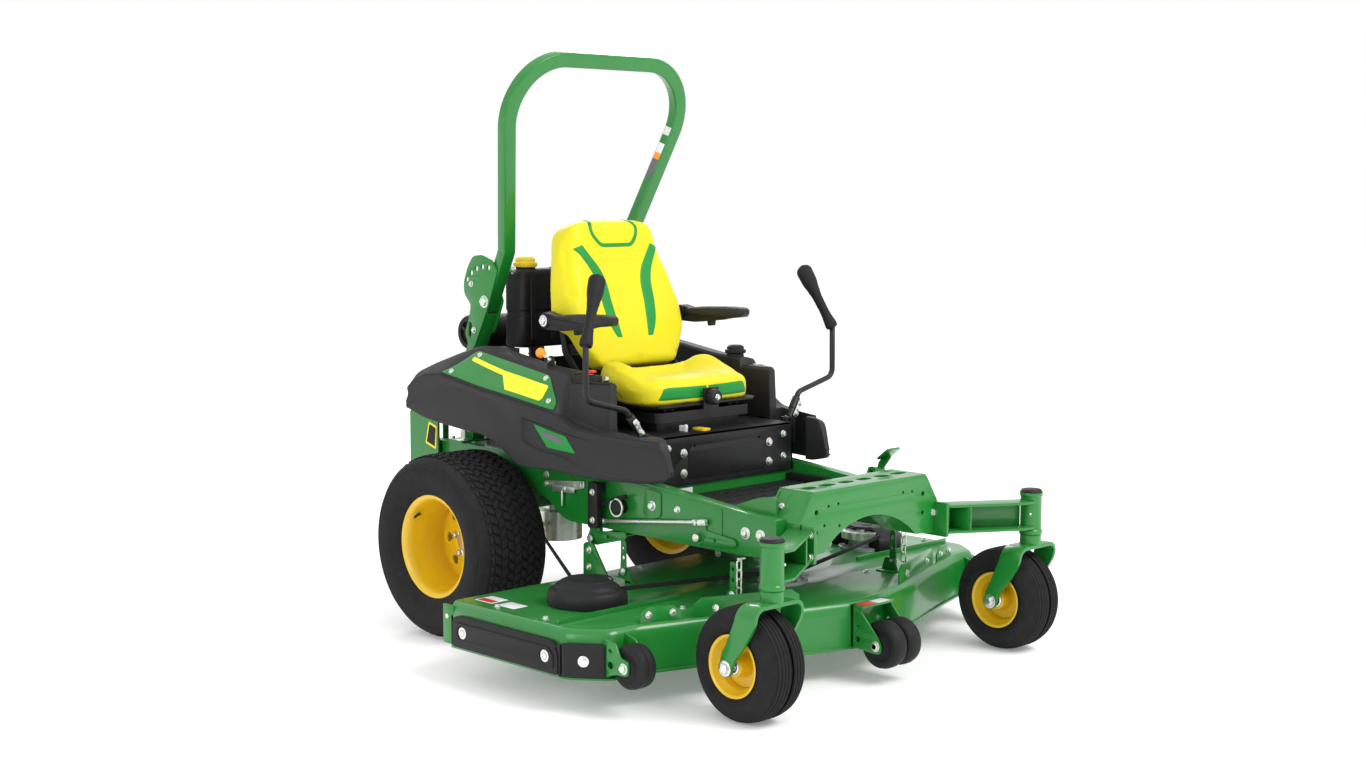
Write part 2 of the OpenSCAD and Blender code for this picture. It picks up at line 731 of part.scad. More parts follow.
module deck_shell() station() color(green) {
    difference() {
        union() {
            plate_z(deck_lip, deck_top) polygon(deck_outline);
            plate_z(deck_lip, deck_lip + 9) polygon(inset(deck_outline, -9));
        }
        plate_z(deck_lip - 1, deck_top - deck_t) polygon(inset(deck_outline, deck_t));
        // discharge across the rear
        box(-deck_half + deck_t, deck_half - deck_t, deck_rear - 20, deck_rear + 20,
            deck_lip - 1, deck_top - 40);
        box(-deck_half - 20, deck_half + 20, deck_rear, deck_rear + 20, deck_lip - 1, deck_top);
        box(-deck_half - 20, -deck_half, 0, deck_rear + 20, deck_lip - 1, deck_top);
        box(deck_half, deck_half + 20, 0, deck_rear + 20, deck_lip - 1, deck_top);
        for (s = spindles) rod_z(s[0], s[1], deck_top - 20, deck_top + 10, 46);
    }
    both_sides() {
        box(deck_half - deck_t - 2, deck_half, deck_rear - 6, deck_rear + 40, deck_lip + 10, deck_top - 10);
        // lift link lugs and stiffening ribs on top
        box(366, 372, 360, 400, deck_top, 285);
        box(366, 372, 835, 875, deck_top, 285);
        box(420, 900, 560, 566, deck_top, deck_top + 14);
        // gauge wheel ears
        ear(gauge_x - 42, 6, gauge_y, gauge_z, 395, 110, 225, 20, 8);
        ear(gauge_x + 36, 6, gauge_y, gauge_z, 395, 110, 225, 20, 8);
        rod_x(gauge_x - 48, gauge_x + 48, gauge_y, gauge_z, 8);
    }
    // ears and axle of the centre rollers
    for (x = [-76, 70]) ear(x, 6, roller_y, roller_z, 168, 105, 226, 22, 9);
    rod_x(-82, 82, roller_y, roller_z, 9);
    box(-76, 76, 120, 166, 226, 232);
    box(-76, 76, 160, 170, 200, 232);
    // lift links, open at their upper pivots
    both_sides() for (y = [lift_y - arm_l, rear_lift_y - arm_l]) {
        difference() {
            box(373, 377, y - 14, y + 14, 262, 375);
            rod_x(370, 380, y, 275, 6);
        }
        rod_x(364, 380, y, 275, 6);
    }
}

house_top = 275;
shaft_r = 17.5;

module spindle_housings() station() color(zinc) for (s = spindles) {
    difference() {
        union() {
            rod_z(s[0], s[1], 150, house_top, 45);
            rod_z(s[0], s[1], deck_top, deck_top + 10, 80);
        }
        rod_z(s[0], s[1], 140, 300, shaft_r + run_fit);
    }
    for (a = [30 : 60 : 330]) translate([s[0] + 66 * cos(a), s[1] + 66 * sin(a), deck_top + 10])
        cylinder(r = 8, h = 7, $fn = 6);
}

belt_z1 = 283;
belt_z2 = 297;
pulley_r = 70;
pulley_engine_r = 84;
belt_t = 8;

module spindle(i) station() color(zinc) {
    s = spindles[i];
    rod_z(s[0], s[1], 119, 306, shaft_r);
    rod_z(s[0], s[1], belt_z1 - 5, belt_z2 + 5, pulley_r - 0.5);
    translate([s[0], s[1], 113]) rotate([0, 0, 20]) difference() {
        cube([blade_l, 62, 6], center = true);
        for (e = [-1, 1]) translate([e * blade_l / 2, e * 31, 0]) rotate([0, 0, -e * 12])
            cube([120, 18, 10], center = true);
    }
    rod_z(s[0], s[1], 115, 120, 30);
    translate([s[0], s[1], 99]) cylinder(r = 17, h = 11.5, $fn = 6);
}

module belt_plan(extra) hull() {
    for (s = [0, 2]) translate(spindles[s]) circle(r = pulley_r + extra, $fn = 32);
    translate(spindles[1]) circle(r = pulley_r + extra, $fn = 32);
    translate([0, engine_y]) circle(r = pulley_engine_r + extra, $fn = 32);
}

module deck_belt() station() color(black) plate_z(belt_z1, belt_z2) difference() {
    belt_plan(belt_t + 1);
    belt_plan(1);
}

module cover() translate([650, 712, 0]) difference() {
    turned_z(0, 0, 241) polygon([[0, 76], [60, 75], [100, 66], [122, 48], [125, 30], [125, 0],
        [121, 0], [121, 30], [118, 46], [98, 62], [60, 71], [0, 72]]);
    rotate([0, 0, 200]) translate([20, -110, 240]) cube([150, 220, 62]);
    translate([-150, -110, 240]) cube([150, 220, 64]);
    translate([-650, -712, 0]) plate_z(240, 302) belt_plan(belt_t + 10);
}

bumper_z1 = 110;
bumper_z2 = 204;

module deck_guards() station() color(black) both_sides() {
    cover();
    difference() {
        round_box(deck_half + 0.3, 955, 505, 990, bumper_z1, bumper_z2, 8);
        for (y = [562, 940]) rod_x(950, 960, y, 157, 14);
    }
    for (y = [562, 940]) rod_x(948, 953, y, 157, 11);
    translate([934, 497, bumper_z1]) rotate([0, 0, atan2(-105, -80)]) {
        cube([100, 22, bumper_z2 - bumper_z1]);
        translate([58, 20, 47]) rotate([-90, 0, 0]) cylinder(r = 11, h = 6);
    }
}

module gauge_wheel() station() color(rubber) difference() {
    turned_x(gauge_x, gauge_y, gauge_z) translate([gauge_r / 2, 0]) round_square_half(gauge_r, 64, 14);
    rod_x(gauge_x - 50, gauge_x + 50, gauge_y, gauge_z, 8 + run_fit);
}

// A half section from the axle outward, with only its outer corners rounded
module round_square_half(w, h, r) {
    translate([-w / 2, -h / 2]) square([w - r, h]);
    translate([-w / 2, -h / 2 + r]) square([w, h - 2 * r]);
    for (b = [-1, 1]) translate([w / 2 - r, b * (h / 2 - r)]) circle(r = r);
}

module center_rollers() station() color(rubber) difference() {
    for (x = [-34, 34]) turned_x(x, roller_y, roller_z)
        translate([roller_r / 2, 0]) round_square_half(roller_r, 62, 16);
    rod_x(-80, 80, roller_y, roller_z, 9 + run_fit);
}

// ---- wheels ----

caster_axle_r = 12;

module caster_fork() station() color(green) {
    cy = caster_trail;
    rod_z(spindle_cx, 0, 345, house_z2 - 2, fork_pin_r);
    rod_z(spindle_cx, 0, 345, house_z1 - 1, 34);
    box(spindle_cx - 100, spindle_cx + 100, -34, 34, 338, 352);
    for (x = [-100, 88]) plate_x(spindle_cx + x, spindle_cx + x + 12) difference() {
        union() {
            polygon([[-34, 352], [34, 352], [66, 260], [cy + 24, caster_r + 8],
                [cy - 16, caster_r - 18], [20, 220], [-26, 290]]);
            translate([cy, caster_r]) circle(r = 24);
        }
        translate([cy, caster_r]) circle(r = caster_axle_r - 1);
    }
    rod_x(spindle_cx - 112, spindle_cx + 112, cy, caster_r, caster_axle_r);
    bolt_x(spindle_cx + 100, cy, caster_r, 19, 10);
    bolt_x(spindle_cx - 110, cy, caster_r, 19, 10);
}

module caster_tyre() station() color(rubber)
    turned_x(spindle_cx, caster_trail, caster_r) difference() {
        translate([(caster_r + 78) / 2, 0]) round_square(caster_r - 78, caster_tyre_w, 36);
        translate([40, -75]) square([39.05, 150]);
        for (b = [-1, 1]) translate([40, b * 75 - 10.05]) square([50.05, 20.1]);
    }

module caster_rim() station() color(yellow)
    difference() {
        turned_x(spindle_cx, caster_trail, caster_r) {
            translate([70, -68]) square([9, 136]);
            for (b = [-1, 1]) translate([74, b * 68 - 3]) square([16, 6]);
            translate([26, -6]) square([48, 12]);
            translate([13, -80]) square([14, 160]);
        }
        rod_x(spindle_cx - 90, spindle_cx + 90, caster_trail, caster_r, caster_axle_r + run_fit);
    }

rim_flange_r = 172;

module drive_tyre() station() color(rubber) turned_x(drive_x, drive_y, drive_r)
    difference() {
        translate([(drive_r + 150) / 2, 0]) round_square(drive_r - 150, drive_tyre_w, 52);
        translate([100, -117]) square([50.05 + 22, 234]);
    }

module drive_rim() station() color(yellow) difference() {
    turned_x(drive_x, drive_y, drive_r) {
        translate([138, -104]) square([8, 208]);
        for (b = [-1, 1]) translate([140, b * 110 - 6]) square([rim_flange_r - 140, 12]);
        for (b = [-1, 1]) translate([138, b * 106 - 8]) square([10, 16]);
        translate([44, -66]) square([98, 8]);
        translate([22, -136]) square([30, 80]);
        translate([22, -74]) square([60, 10]);
    }
    rod_x(drive_x - 140, drive_x + 80, drive_y, drive_r, 20 + run_fit);
    for (a = [0 : 60 : 300]) rod_x(drive_x - 80, drive_x - 50, drive_y + 108 * cos(a),
        drive_r + 108 * sin(a), 18);
}

// ---- deck lift ----

arm_l = 150;

module front_lift_shaft() station() color(green) {
    rod_x(-384, 384, lift_y, lift_z, lift_r);
    both_sides() {
        plate_x(365, 371) union() {
            polygon([[lift_y, lift_z - 18], [lift_y, lift_z + 18], [lift_y - arm_l, lift_z + 12],
                [lift_y - arm_l, lift_z - 12]]);
            translate([lift_y, lift_z]) circle(r = 22);
            translate([lift_y - arm_l, lift_z]) circle(r = 12);
            polygon([[lift_y - 16, lift_z], [lift_y + 16, lift_z], [lift_y - 12, lift_z + 62],
                [lift_y - 38, lift_z + 56]]);
        }
    }
}

module lift_rods() station() color(zinc) both_sides() {
    strut([380, lift_y - 12, lift_z + 48], [380, rear_lift_y - 40, rear_lift_z + 62], 7);
    for (p = [[lift_y - 26, lift_z + 50], [rear_lift_y - 26, rear_lift_z + 60]])
        box(374, 386, p[0] - 16, p[0] + 18, p[1] - 11, p[1] + 11);
}

module rear_lift_shaft() station() color(green) {
    rod_x(-384, 384, rear_lift_y, rear_lift_z, lift_r);
    both_sides() plate_x(365, 371) union() {
        polygon([[rear_lift_y, rear_lift_z - 18], [rear_lift_y, rear_lift_z + 18],
            [rear_lift_y - arm_l, rear_lift_z + 36], [rear_lift_y - arm_l, rear_lift_z + 14]]);
        translate([rear_lift_y, rear_lift_z]) circle(r = 22);
        translate([rear_lift_y - arm_l, rear_lift_z + 25]) circle(r = 12);
        polygon([[rear_lift_y - 16, rear_lift_z], [rear_lift_y + 16, rear_lift_z],
            [rear_lift_y - 12, rear_lift_z + 66], [rear_lift_y - 38, rear_lift_z + 66]]);
    }
}

module lift_pedal() station() color(green) {
    difference() {
        rod_x(366, 404, pedal_y, pedal_z, 15);
        rod_x(360, 410, pedal_y, pedal_z, pedal_pin_r + run_fit);
    }
    plate_x(388, 396) polygon([[pedal_y - 14, pedal_z + 9], [pedal_y + 8, pedal_z + 11],
        [pedal_y + 2, pedal_z + 30], [pedal_y - 34, pedal_z + 64], [pedal_y - 46, pedal_z + 50]]);
    translate([392, pedal_y - 38, pedal_z + 60]) rotate([-38, 0, 0])
        translate([-34, -30, 0]) cube([68, 62, 6]);
}

frame_rails();
front_crossmember();
right_side() caster_arm();  // caster_arm_right
caster_arm();  // caster_arm_left
rear_frame();
footrest();
seat_box();
fender_with_controls();  // fender_right
fender_with_filler();  // fender_left
right_side() fender_nose();  // fender_nose_right
fender_nose();  // fender_nose_left
engine_block();
blower_housing();
muffler();
air_cleaner();
hydro_drives();
roll_bar_base();
rear_tank();
tank_cap();
fuel_cap();
roll_bar_hoop();
suspension_carriage();
seat_pan();
seat_cushion();
weight_knob();
seat_back_shell();
seat_back_cushion();
right_side() armrest();  // armrest_right
armrest();  // armrest_left
right_side() lever_pivot();  // lever_pivot_right
lever_pivot();  // lever_pivot_left
right_side() lever();  // lever_right
lever();  // lever_left
throttle_lever();
pto_knob();
deck_shell();
spindle_housings();
deck_guards();
deck_belt();
spindle(0);  // spindle_right
spindle(1);  // spindle_center
spindle(2);  // spindle_left
engine_pulley();
right_side() caster_fork();  // caster_fork_right
caster_fork();  // caster_fork_left
right_side() caster_tyre();  // caster_tyre_right
caster_tyre();  // caster_tyre_left
right_side() caster_rim();  // caster_rim_right
caster_rim();  // caster_rim_left
right_side() drive_tyre();  // drive_tyre_right
drive_tyre();  // drive_tyre_left
right_side() drive_rim();  // drive_rim_right
drive_rim();  // drive_rim_left
right_side() gauge_wheel();  // gauge_wheel_right
gauge_wheel();  // gauge_wheel_left
center_rollers();
lift_pedal();
front_lift_shaft();
lift_rods();
rear_lift_shaft();
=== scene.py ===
import json
import math

import bmesh
import bpy
from mathutils import Matrix, Vector
from mathutils.bvhtree import BVHTree
from mathutils.geometry import tessellate_polygon


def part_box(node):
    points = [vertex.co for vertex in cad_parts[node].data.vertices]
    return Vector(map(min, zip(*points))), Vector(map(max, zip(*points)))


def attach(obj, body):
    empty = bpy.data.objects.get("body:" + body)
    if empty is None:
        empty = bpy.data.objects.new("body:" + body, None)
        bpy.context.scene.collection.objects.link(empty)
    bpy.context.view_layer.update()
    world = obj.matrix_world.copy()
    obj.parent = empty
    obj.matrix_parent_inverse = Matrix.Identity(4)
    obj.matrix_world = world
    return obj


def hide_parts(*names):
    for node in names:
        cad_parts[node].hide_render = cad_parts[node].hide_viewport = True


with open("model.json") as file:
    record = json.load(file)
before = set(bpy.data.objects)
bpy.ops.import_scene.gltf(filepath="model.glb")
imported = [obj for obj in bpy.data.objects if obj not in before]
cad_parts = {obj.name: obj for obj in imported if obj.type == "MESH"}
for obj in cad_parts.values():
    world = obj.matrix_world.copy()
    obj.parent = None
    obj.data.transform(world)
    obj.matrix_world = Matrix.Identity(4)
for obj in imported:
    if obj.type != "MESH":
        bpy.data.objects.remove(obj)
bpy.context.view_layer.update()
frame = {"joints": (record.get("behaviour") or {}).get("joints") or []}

PIVOT = {j["name"]: Vector(j["pos_m"]) for j in frame["joints"] if "pos_m" in j}

# Pieces are drawn in millimetres. Y is counted rearward from the caster spindles.
ORIGIN = Vector((0, PIVOT["caster_left_swivel"].y, 0))


def metres(p):
    return Vector(p) / 1000 + ORIGIN


def local(p):
    """A point of the frame, in millimetres from the caster spindles."""
    return (Vector(p) - ORIGIN) * 1000


def corners(node):
    """Lowest and highest corner of a CAD node, in local millimetres."""
    low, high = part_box(node)
    return local(low), local(high)


# ---------------------------------------------------------------- materials

def material(name, colour, rough, metallic=0.0, spread=0.08, size=30.0, bump=0.05, grain=600.0,
             coat=0.0, rough_spread=0.08, sheen=0.0, dust=0.0, distance=0.0004, gloss=0.5, glow=0.0):
    """A principled surface whose colour and roughness drift over the part, with a fine grain."""
    m = bpy.data.materials.new(name)
    m.use_nodes = True
    nodes, links = m.node_tree.nodes, m.node_tree.links
    shader = nodes["Principled BSDF"]
    shader.inputs["Metallic"].default_value = metallic
    shader.inputs["Specular IOR Level"].default_value = gloss
    shader.inputs["Emission Strength"].default_value = glow
    shader.inputs["Coat Weight"].default_value = coat
    shader.inputs["Coat Roughness"].default_value = 0.08
    shader.inputs["Sheen Weight"].default_value = sheen
    place = nodes.new("ShaderNodeTexCoord")
    cloud = nodes.new("ShaderNodeTexNoise")
    cloud.inputs["Scale"].default_value = size
    cloud.inputs["Detail"].default_value = 5.0
    links.new(place.outputs["Object"], cloud.inputs["Vector"])
    tint = nodes.new("ShaderNodeValToRGB")
    tint.color_ramp.elements[0].position = 0.3
    tint.color_ramp.elements[1].position = 0.7
    tint.color_ramp.elements[0].color = [c * (1 - spread) for c in colour] + [1]
    tint.color_ramp.elements[1].color = [min(1, c * (1 + spread)) for c in colour] + [1]
    links.new(cloud.outputs["Fac"], tint.inputs["Fac"])
    last = tint.outputs["Color"]
    if dust:
        # a little dust settles on faces that look up
        facing = nodes.new("ShaderNodeNewGeometry")
        split = nodes.new("ShaderNodeSeparateXYZ")
        links.new(facing.outputs["Normal"], split.inputs["Vector"])
        ramp = nodes.new("ShaderNodeMapRange")
        ramp.inputs["From Min"].default_value = 0.4
        ramp.inputs["From Max"].default_value = 1.0
        ramp.inputs["To Max"].default_value = dust
        links.new(split.outputs["Z"], ramp.inputs["Value"])
        patchy = nodes.new("ShaderNodeMath")
        patchy.operation = "MULTIPLY"
        links.new(ramp.outputs["Result"], patchy.inputs[0])
        links.new(cloud.outputs["Fac"], patchy.inputs[1])
        mix = nodes.new("ShaderNodeMix")
        mix.data_type = "RGBA"
        mix.inputs["B"].default_value = (0.45, 0.45, 0.42, 1)
        links.new(patchy.outputs[0], mix.inputs["Factor"])
        links.new(last, mix.inputs["A"])
        last = mix.outputs["Result"]
    links.new(last, shader.inputs["Base Color"])
    worn = nodes.new("ShaderNodeMapRange")
    worn.inputs["To Min"].default_value = max(0.02, rough - rough_spread)
    worn.inputs["To Max"].default_value = min(1.0, rough + rough_spread)
    links.new(cloud.outputs["Fac"], worn.inputs["Value"])
    links.new(worn.outputs["Result"], shader.inputs["Roughness"])
    fine = nodes.new("ShaderNodeTexNoise")
    fine.inputs["Scale"].default_value = grain
    fine.inputs["Detail"].default_value = 3.0
    links.new(place.outputs["Object"], fine.inputs["Vector"])
    relief = nodes.new("ShaderNodeBump")
    relief.inputs["Strength"].default_value = bump
    relief.inputs["Distance"].default_value = distance
    links.new(fine.outputs["Fac"], relief.inputs["Height"])
    links.new(relief.outputs["Normal"], shader.inputs["Normal"])
    return m


GREEN = material("green_enamel", (0.009, 0.185, 0.022), 0.32, spread=0.05, size=9, bump=0.10,
                 grain=90, coat=0.35, dust=0.05, gloss=0.4)
BLACK = material("black_powder_coat", (0.009, 0.009, 0.0095), 0.42, bump=0.25, grain=900, spread=0.2,
                 gloss=0.35)
PLASTIC = material("black_plastic", (0.010, 0.010, 0.0105), 0.55, bump=0.35, grain=1100, spread=0.15,
                   gloss=0.28)
GREY = material("grey_moulding", (0.021, 0.021, 0.022), 0.50, bump=0.5, grain=1300, spread=0.08,
                size=14, distance=0.0006, gloss=0.25)
RUBBER = material("soft_rubber", (0.010, 0.010, 0.0105), 0.62, bump=0.3, grain=500, spread=0.15, gloss=0.25)
TYRE = material("tyre_rubber", (0.013, 0.013, 0.0135), 0.78, bump=0.5, grain=260, spread=0.25,
                size=40, dust=0.03, distance=0.0008, gloss=0.2)
YELLOW = material("yellow_enamel", (0.72, 0.45, 0.008), 0.34, spread=0.05, size=12, bump=0.08,
                  grain=120, coat=0.3)
VINYL = material("yellow_vinyl", (0.70, 0.61, 0.009), 0.44, spread=0.025, size=8, bump=0.35,
                 grain=420, coat=0.05, sheen=0.08, distance=0.0005, gloss=0.2)
PIPING = material("green_vinyl", (0.014, 0.25, 0.040), 0.45, spread=0.06, size=20, bump=0.3, grain=500,
                  gloss=0.22)
ZINC = material("zinc_plate", (0.66, 0.72, 0.64), 0.30, metallic=0.85, spread=0.12, size=60,
                bump=0.15, grain=300)
STEEL = material("bright_steel", (0.70, 0.71, 0.72), 0.22, metallic=1.0, spread=0.08, size=80,
                 bump=0.1, grain=500)
CAST = material("cast_aluminium", (0.42, 0.43, 0.43), 0.48, metallic=0.7, spread=0.2, size=25,
                bump=0.6, grain=350, distance=0.0008)
MUFFLER = material("heat_shield", (0.62, 0.58, 0.53), 0.42, metallic=0.6, spread=0.12, size=18,
                   bump=0.2, grain=200)
CAP = material("yellow_plastic", (0.80, 0.55, 0.02), 0.40, spread=0.05, bump=0.2, grain=900)
ORANGE = material("orange_plastic", (0.95, 0.30, 0.008), 0.35, spread=0.04, bump=0.1, grain=900)
RED = material("red_plastic", (0.60, 0.008, 0.015), 0.35, spread=0.05, bump=0.1, grain=900)
LABEL = material("label_white", (0.72, 0.73, 0.74), 0.38, spread=0.10, size=160, bump=0.05, grain=900)
LABEL_GREY = material("label_grey", (0.11, 0.11, 0.12), 0.38, spread=0.25, size=260, bump=0.05, grain=900)
LABEL_RED = material("label_red", (0.62, 0.03, 0.02), 0.38, spread=0.15, size=200, bump=0.05, grain=900)
LABEL_YELLOW = material("label_yellow", (0.90, 0.74, 0.015), 0.34, spread=0.04, size=60, bump=0.05,
                        grain=900)


# ---------------------------------------------------------------- mesh kit

def curve(points):
    """A function that runs through (place, value) points in straight stretches."""
    points = sorted(points)

    def value(at):
        if at <= points[0][0]:
            return points[0][1]
        for (a, va), (b, vb) in zip(points, points[1:]):
            if at <= b:
                return va + (vb - va) * (at - a) / (b - a)
        return points[-1][1]
    return value


def eased(points, width):
    """The same, with its corners rounded over a width."""
    line = curve(points)
    steps = 9
    return lambda at: sum(line(at + width * (i / (steps - 1) - 0.5)) for i in range(steps)) / steps


def ramp(at, start, width):
    """Rises from 0 to 1 over a width."""
    return min(1.0, max(0.0, (at - start) / width))


def soft(at, start, width):
    """The same, with a gentle start and end."""
    t = ramp(at, start, width)
    return t * t * (3 - 2 * t)


def polar(r, angle):
    return r * math.cos(angle), r * math.sin(angle)


def disc(u, v, r, n=24):
    return [(u + r * math.cos(math.tau * i / n), v + r * math.sin(math.tau * i / n)) for i in range(n)]


def rounded(points, r, n=4):
    """The outline with its corners cut to arcs of about r, or of the corner's own third number."""
    made = []
    for i, p in enumerate(points):
        a, b, c = Vector(points[i - 1][:2]), Vector(p[:2]), Vector(points[(i + 1) % len(points)][:2])
        radius = p[2] if len(p) > 2 else r
        e, f = a - b, c - b
        cut = min(radius, e.length * 0.49, f.length * 0.49)
        if cut < 0.05:
            made.append(tuple(b))
            continue
        start, end = b + e.normalized() * cut, b + f.normalized() * cut
        for k in range(n + 1):
            t = k / n
            made.append(tuple(start * (1 - t) ** 2 + b * 2 * t * (1 - t) + end * t * t))
    return made


def rect(u1, u2, v1, v2, r=0.0):
    box = [(u1, v1), (u2, v1), (u2, v2), (u1, v2)]
    return rounded(box, r) if r else box


def inset_path(points, off, closed=False):
    """The line moved to its left by off, with its corners kept sharp."""
    made, n = [], len(points)
    for i, p in enumerate(points):
        a = points[i - 1] if (i or closed) else None
        c = points[(i + 1) % n] if (i < n - 1 or closed) else None
        b = Vector(p)
        u = (b - Vector(a)).normalized() if a is not None else None
        v = (Vector(c) - b).normalized() if c is not None else None
        u, v = u or v, v or u
        nu, nv = Vector((-u.y, u.x)), Vector((-v.y, v.x))
        m = (nu + nv).normalized()
        made.append(tuple(b + m * (off / max(m.dot(nu), 0.3))))
    return made


def bent(path, r, n=6):
    """A 3-D path with its inner corners turned to arcs of radius r."""
    path = [Vector(p) for p in path]
    made = [path[0]]
    for a, b, c in zip(path, path[1:], path[2:]):
        e, f = (a - b).normalized(), (c - b).normalized()
        half = e.angle(f) / 2
        if half > 1.54:
            made.append(b)
            continue
        cut = min(r / math.tan(half), (a - b).length * 0.49, (c - b).length * 0.49)
        centre = b + (e + f).normalized() * (cut / math.cos(half))
        u, v, turn = b + e * cut - centre, b + f * cut - centre, math.pi - 2 * half
        for k in range(n + 1):
            t = k / n
            made.append(centre + (u * math.sin((1 - t) * turn) + v * math.sin(t * turn)) / math.sin(turn))
    return made + [path[-1]]


def span(out, a, b):
    """Two distances from the middle, as x values on side out (1 or -1), the lower one first."""
    return sorted((out * a, out * b))


PLACE = {"x": lambda u, v, t: Vector((t, u, v)), "y": lambda u, v, t: Vector((u, t, v)),
         "z": lambda u, v, t: Vector((u, v, t))}


class Shape:
    """A mesh under construction. Faces take the material number that mat holds when they are made."""

    def __init__(self):
        self.bm = bmesh.new()
        self.mat = 0

    def face(self, verts):
        if len(set(verts)) < 3:
            return
        try:
            f = self.bm.faces.new(verts)
        except ValueError:
            return
        f.material_index = self.mat

    def loft(self, rings, wrap=False):
        rows = [[self.bm.verts.new(p) for p in ring] for ring in rings]
        for a, b in list(zip(rows, rows[1:])) + ([(rows[-1], rows[0])] if wrap else []):
            for i in range(len(a)):
                j = (i + 1) % len(a)
                self.face([a[i], a[j], b[j], b[i]])
        if not wrap:
            self.face(rows[0][::-1])
            self.face(rows[-1])
        return self

    def prism(self, axis, a, b, outline, *holes):
        put = PLACE[axis]
        loops = [[(p[0], p[1]) for p in loop] for loop in (outline, *holes)]
        low = [[self.bm.verts.new(put(u, v, a)) for u, v in loop] for loop in loops]
        high = [[self.bm.verts.new(put(u, v, b)) for u, v in loop] for loop in loops]
        for r0, r1 in zip(low, high):
            for i in range(len(r0)):
                j = (i + 1) % len(r0)
                self.face([r0[i], r0[j], r1[j], r1[i]])
        if not holes:
            self.face(low[0][::-1])
            self.face(high[0])
            return self
        for ends in (low, high):
            flat = [v for loop in ends for v in loop]
            for t in tessellate_polygon([[Vector((u, v, 0)) for u, v in loop] for loop in loops]):
                self.face([flat[i] for i in t])
        return self

    def box(self, x1, x2, y1, y2, z1, z2):
        return self.prism("z", z1, z2, rect(x1, x2, y1, y2))

    def sweep(self, path, section, up=None):
        """The section, in (side, up) offsets, carried along the path."""
        path = [Vector(p) for p in path]
        side, rings = None, []
        for i, p in enumerate(path):
            t = (path[min(i + 1, len(path) - 1)] - path[max(i - 1, 0)]).normalized()
            if up is not None:
                a = t.cross(Vector(up)).normalized()
            elif side is None:
                a = t.cross(Vector((0, 0, 1)) if abs(t.z) < 0.9 else Vector((0, 1, 0))).normalized()
            else:
                a = (side - t * side.dot(t)).normalized()
            side, b = a, a.cross(t).normalized()
            grow = 1.0
            if 0 < i < len(path) - 1:
                bend = (p - path[i - 1]).normalized().dot((path[i + 1] - p).normalized())
                grow = 1 / max(0.5, math.sqrt((1 + bend) / 2))
            rings.append([p + a * (u * grow) + b * (v * grow) for u, v in section])
        return self.loft(rings)

    def tube(self, path, r, n=16):
        return self.sweep(path, disc(0, 0, r, n))

    def lathe(self, axis, centre, profile, n=48):
        """A closed profile of (radius, along) turned about the axis."""
        centre = Vector(centre)
        rings = []
        for i in range(n):
            c, s = math.cos(math.tau * i / n), math.sin(math.tau * i / n)
            rings.append([centre + PLACE[axis](r * c, r * s, t) for r, t in profile])
        return self.loft(rings, wrap=True)

    def rod(self, axis, a, b, u, v, r, n=24, chamfer=0.0):
        profile = [(0, a), (r - chamfer, a), (r, a + chamfer), (r, b - chamfer), (r - chamfer, b), (0, b)]
        return self.lathe(axis, PLACE[axis](u, v, 0), profile, n)

    def bolt(self, at, to, r=9, h=7, washer=True, mat=None):
        """A hexagon head with its washer, standing on a face and looking along to."""
        keep, self.mat = self.mat, self.mat if mat is None else mat
        turn = Vector(to).to_track_quat("Z", "Y").to_matrix()
        at = Vector(at)

        def ring(rad, height, n):
            return [at + turn @ Vector((x, y, height)) for x, y in disc(0, 0, rad, n)]
        base = 0
        if washer:
            self.loft([ring(r * 1.35, -0.5, 20), ring(r * 1.35, 1.6, 20), ring(r * 1.2, 2.2, 20)])
            base = 2
        self.loft([ring(r, base - 0.5, 6), ring(r, base + h * 0.8, 6), ring(r * 0.82, base + h, 6)])
        self.mat = keep
        return self

    def ball(self, at, r, n=20):
        rings = []
        for i in range(n // 2 + 1):
            a = math.pi * i / (n // 2)
            ring = disc(0, 0, max(math.sin(a) * r, 0.02), n)
            rings.append([Vector(at) + Vector((x, y, math.cos(a) * r)) for x, y in ring])
        return self.loft(rings)

    def mirror(self):
        """Adds the same shape on the machine's other side."""
        made = bmesh.ops.duplicate(self.bm, geom=self.bm.verts[:] + self.bm.edges[:] + self.bm.faces[:])
        verts = [g for g in made["geom"] if isinstance(g, bmesh.types.BMVert)]
        for v in verts:
            v.co.x = -v.co.x
        return self

    def put(self, name, body, *materials, side=1, bevel=1.5, segments=2, angle=32, subdivide=0,
            replaces=(), slot=None, smooth=38):
        """Makes the object, in metres, rides it on its body and hides the CAD parts it replaces."""
        bm = self.bm
        bmesh.ops.remove_doubles(bm, verts=bm.verts, dist=0.005)
        bmesh.ops.dissolve_degenerate(bm, edges=bm.edges, dist=0.002)
        for v in bm.verts:
            v.co = metres((v.co.x * side, v.co.y, v.co.z))
        bmesh.ops.recalc_face_normals(bm, faces=bm.faces)
        mesh = bpy.data.meshes.new(name)
        bm.to_mesh(mesh)
        bm.free()
        for m in materials:
            mesh.materials.append(m)
        obj = bpy.data.objects.new(name, mesh)
        bpy.context.scene.collection.objects.link(obj)
        if subdivide:
            m = obj.modifiers.new("round", "SUBSURF")
            m.levels = m.render_levels = subdivide
        if bevel:
            m = obj.modifiers.new("edges", "BEVEL")
            m.width, m.segments, m.limit_method = bevel / 1000, segments, "ANGLE"
            m.angle_limit, m.use_clamp_overlap = math.radians(angle), True
        freeze(obj)
        shade(obj, smooth)
        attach(obj, body)
        if replaces:
            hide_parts(*([replaces] if isinstance(replaces, str) else replaces))
        return obj


def freeze(obj):
    """Applies the modifiers."""
    if obj.modifiers:
        bpy.context.view_layer.update()
        seen = obj.evaluated_get(bpy.context.evaluated_depsgraph_get())
        mesh = bpy.data.meshes.new_from_object(seen)
        obj.modifiers.clear()
        obj.data = mesh


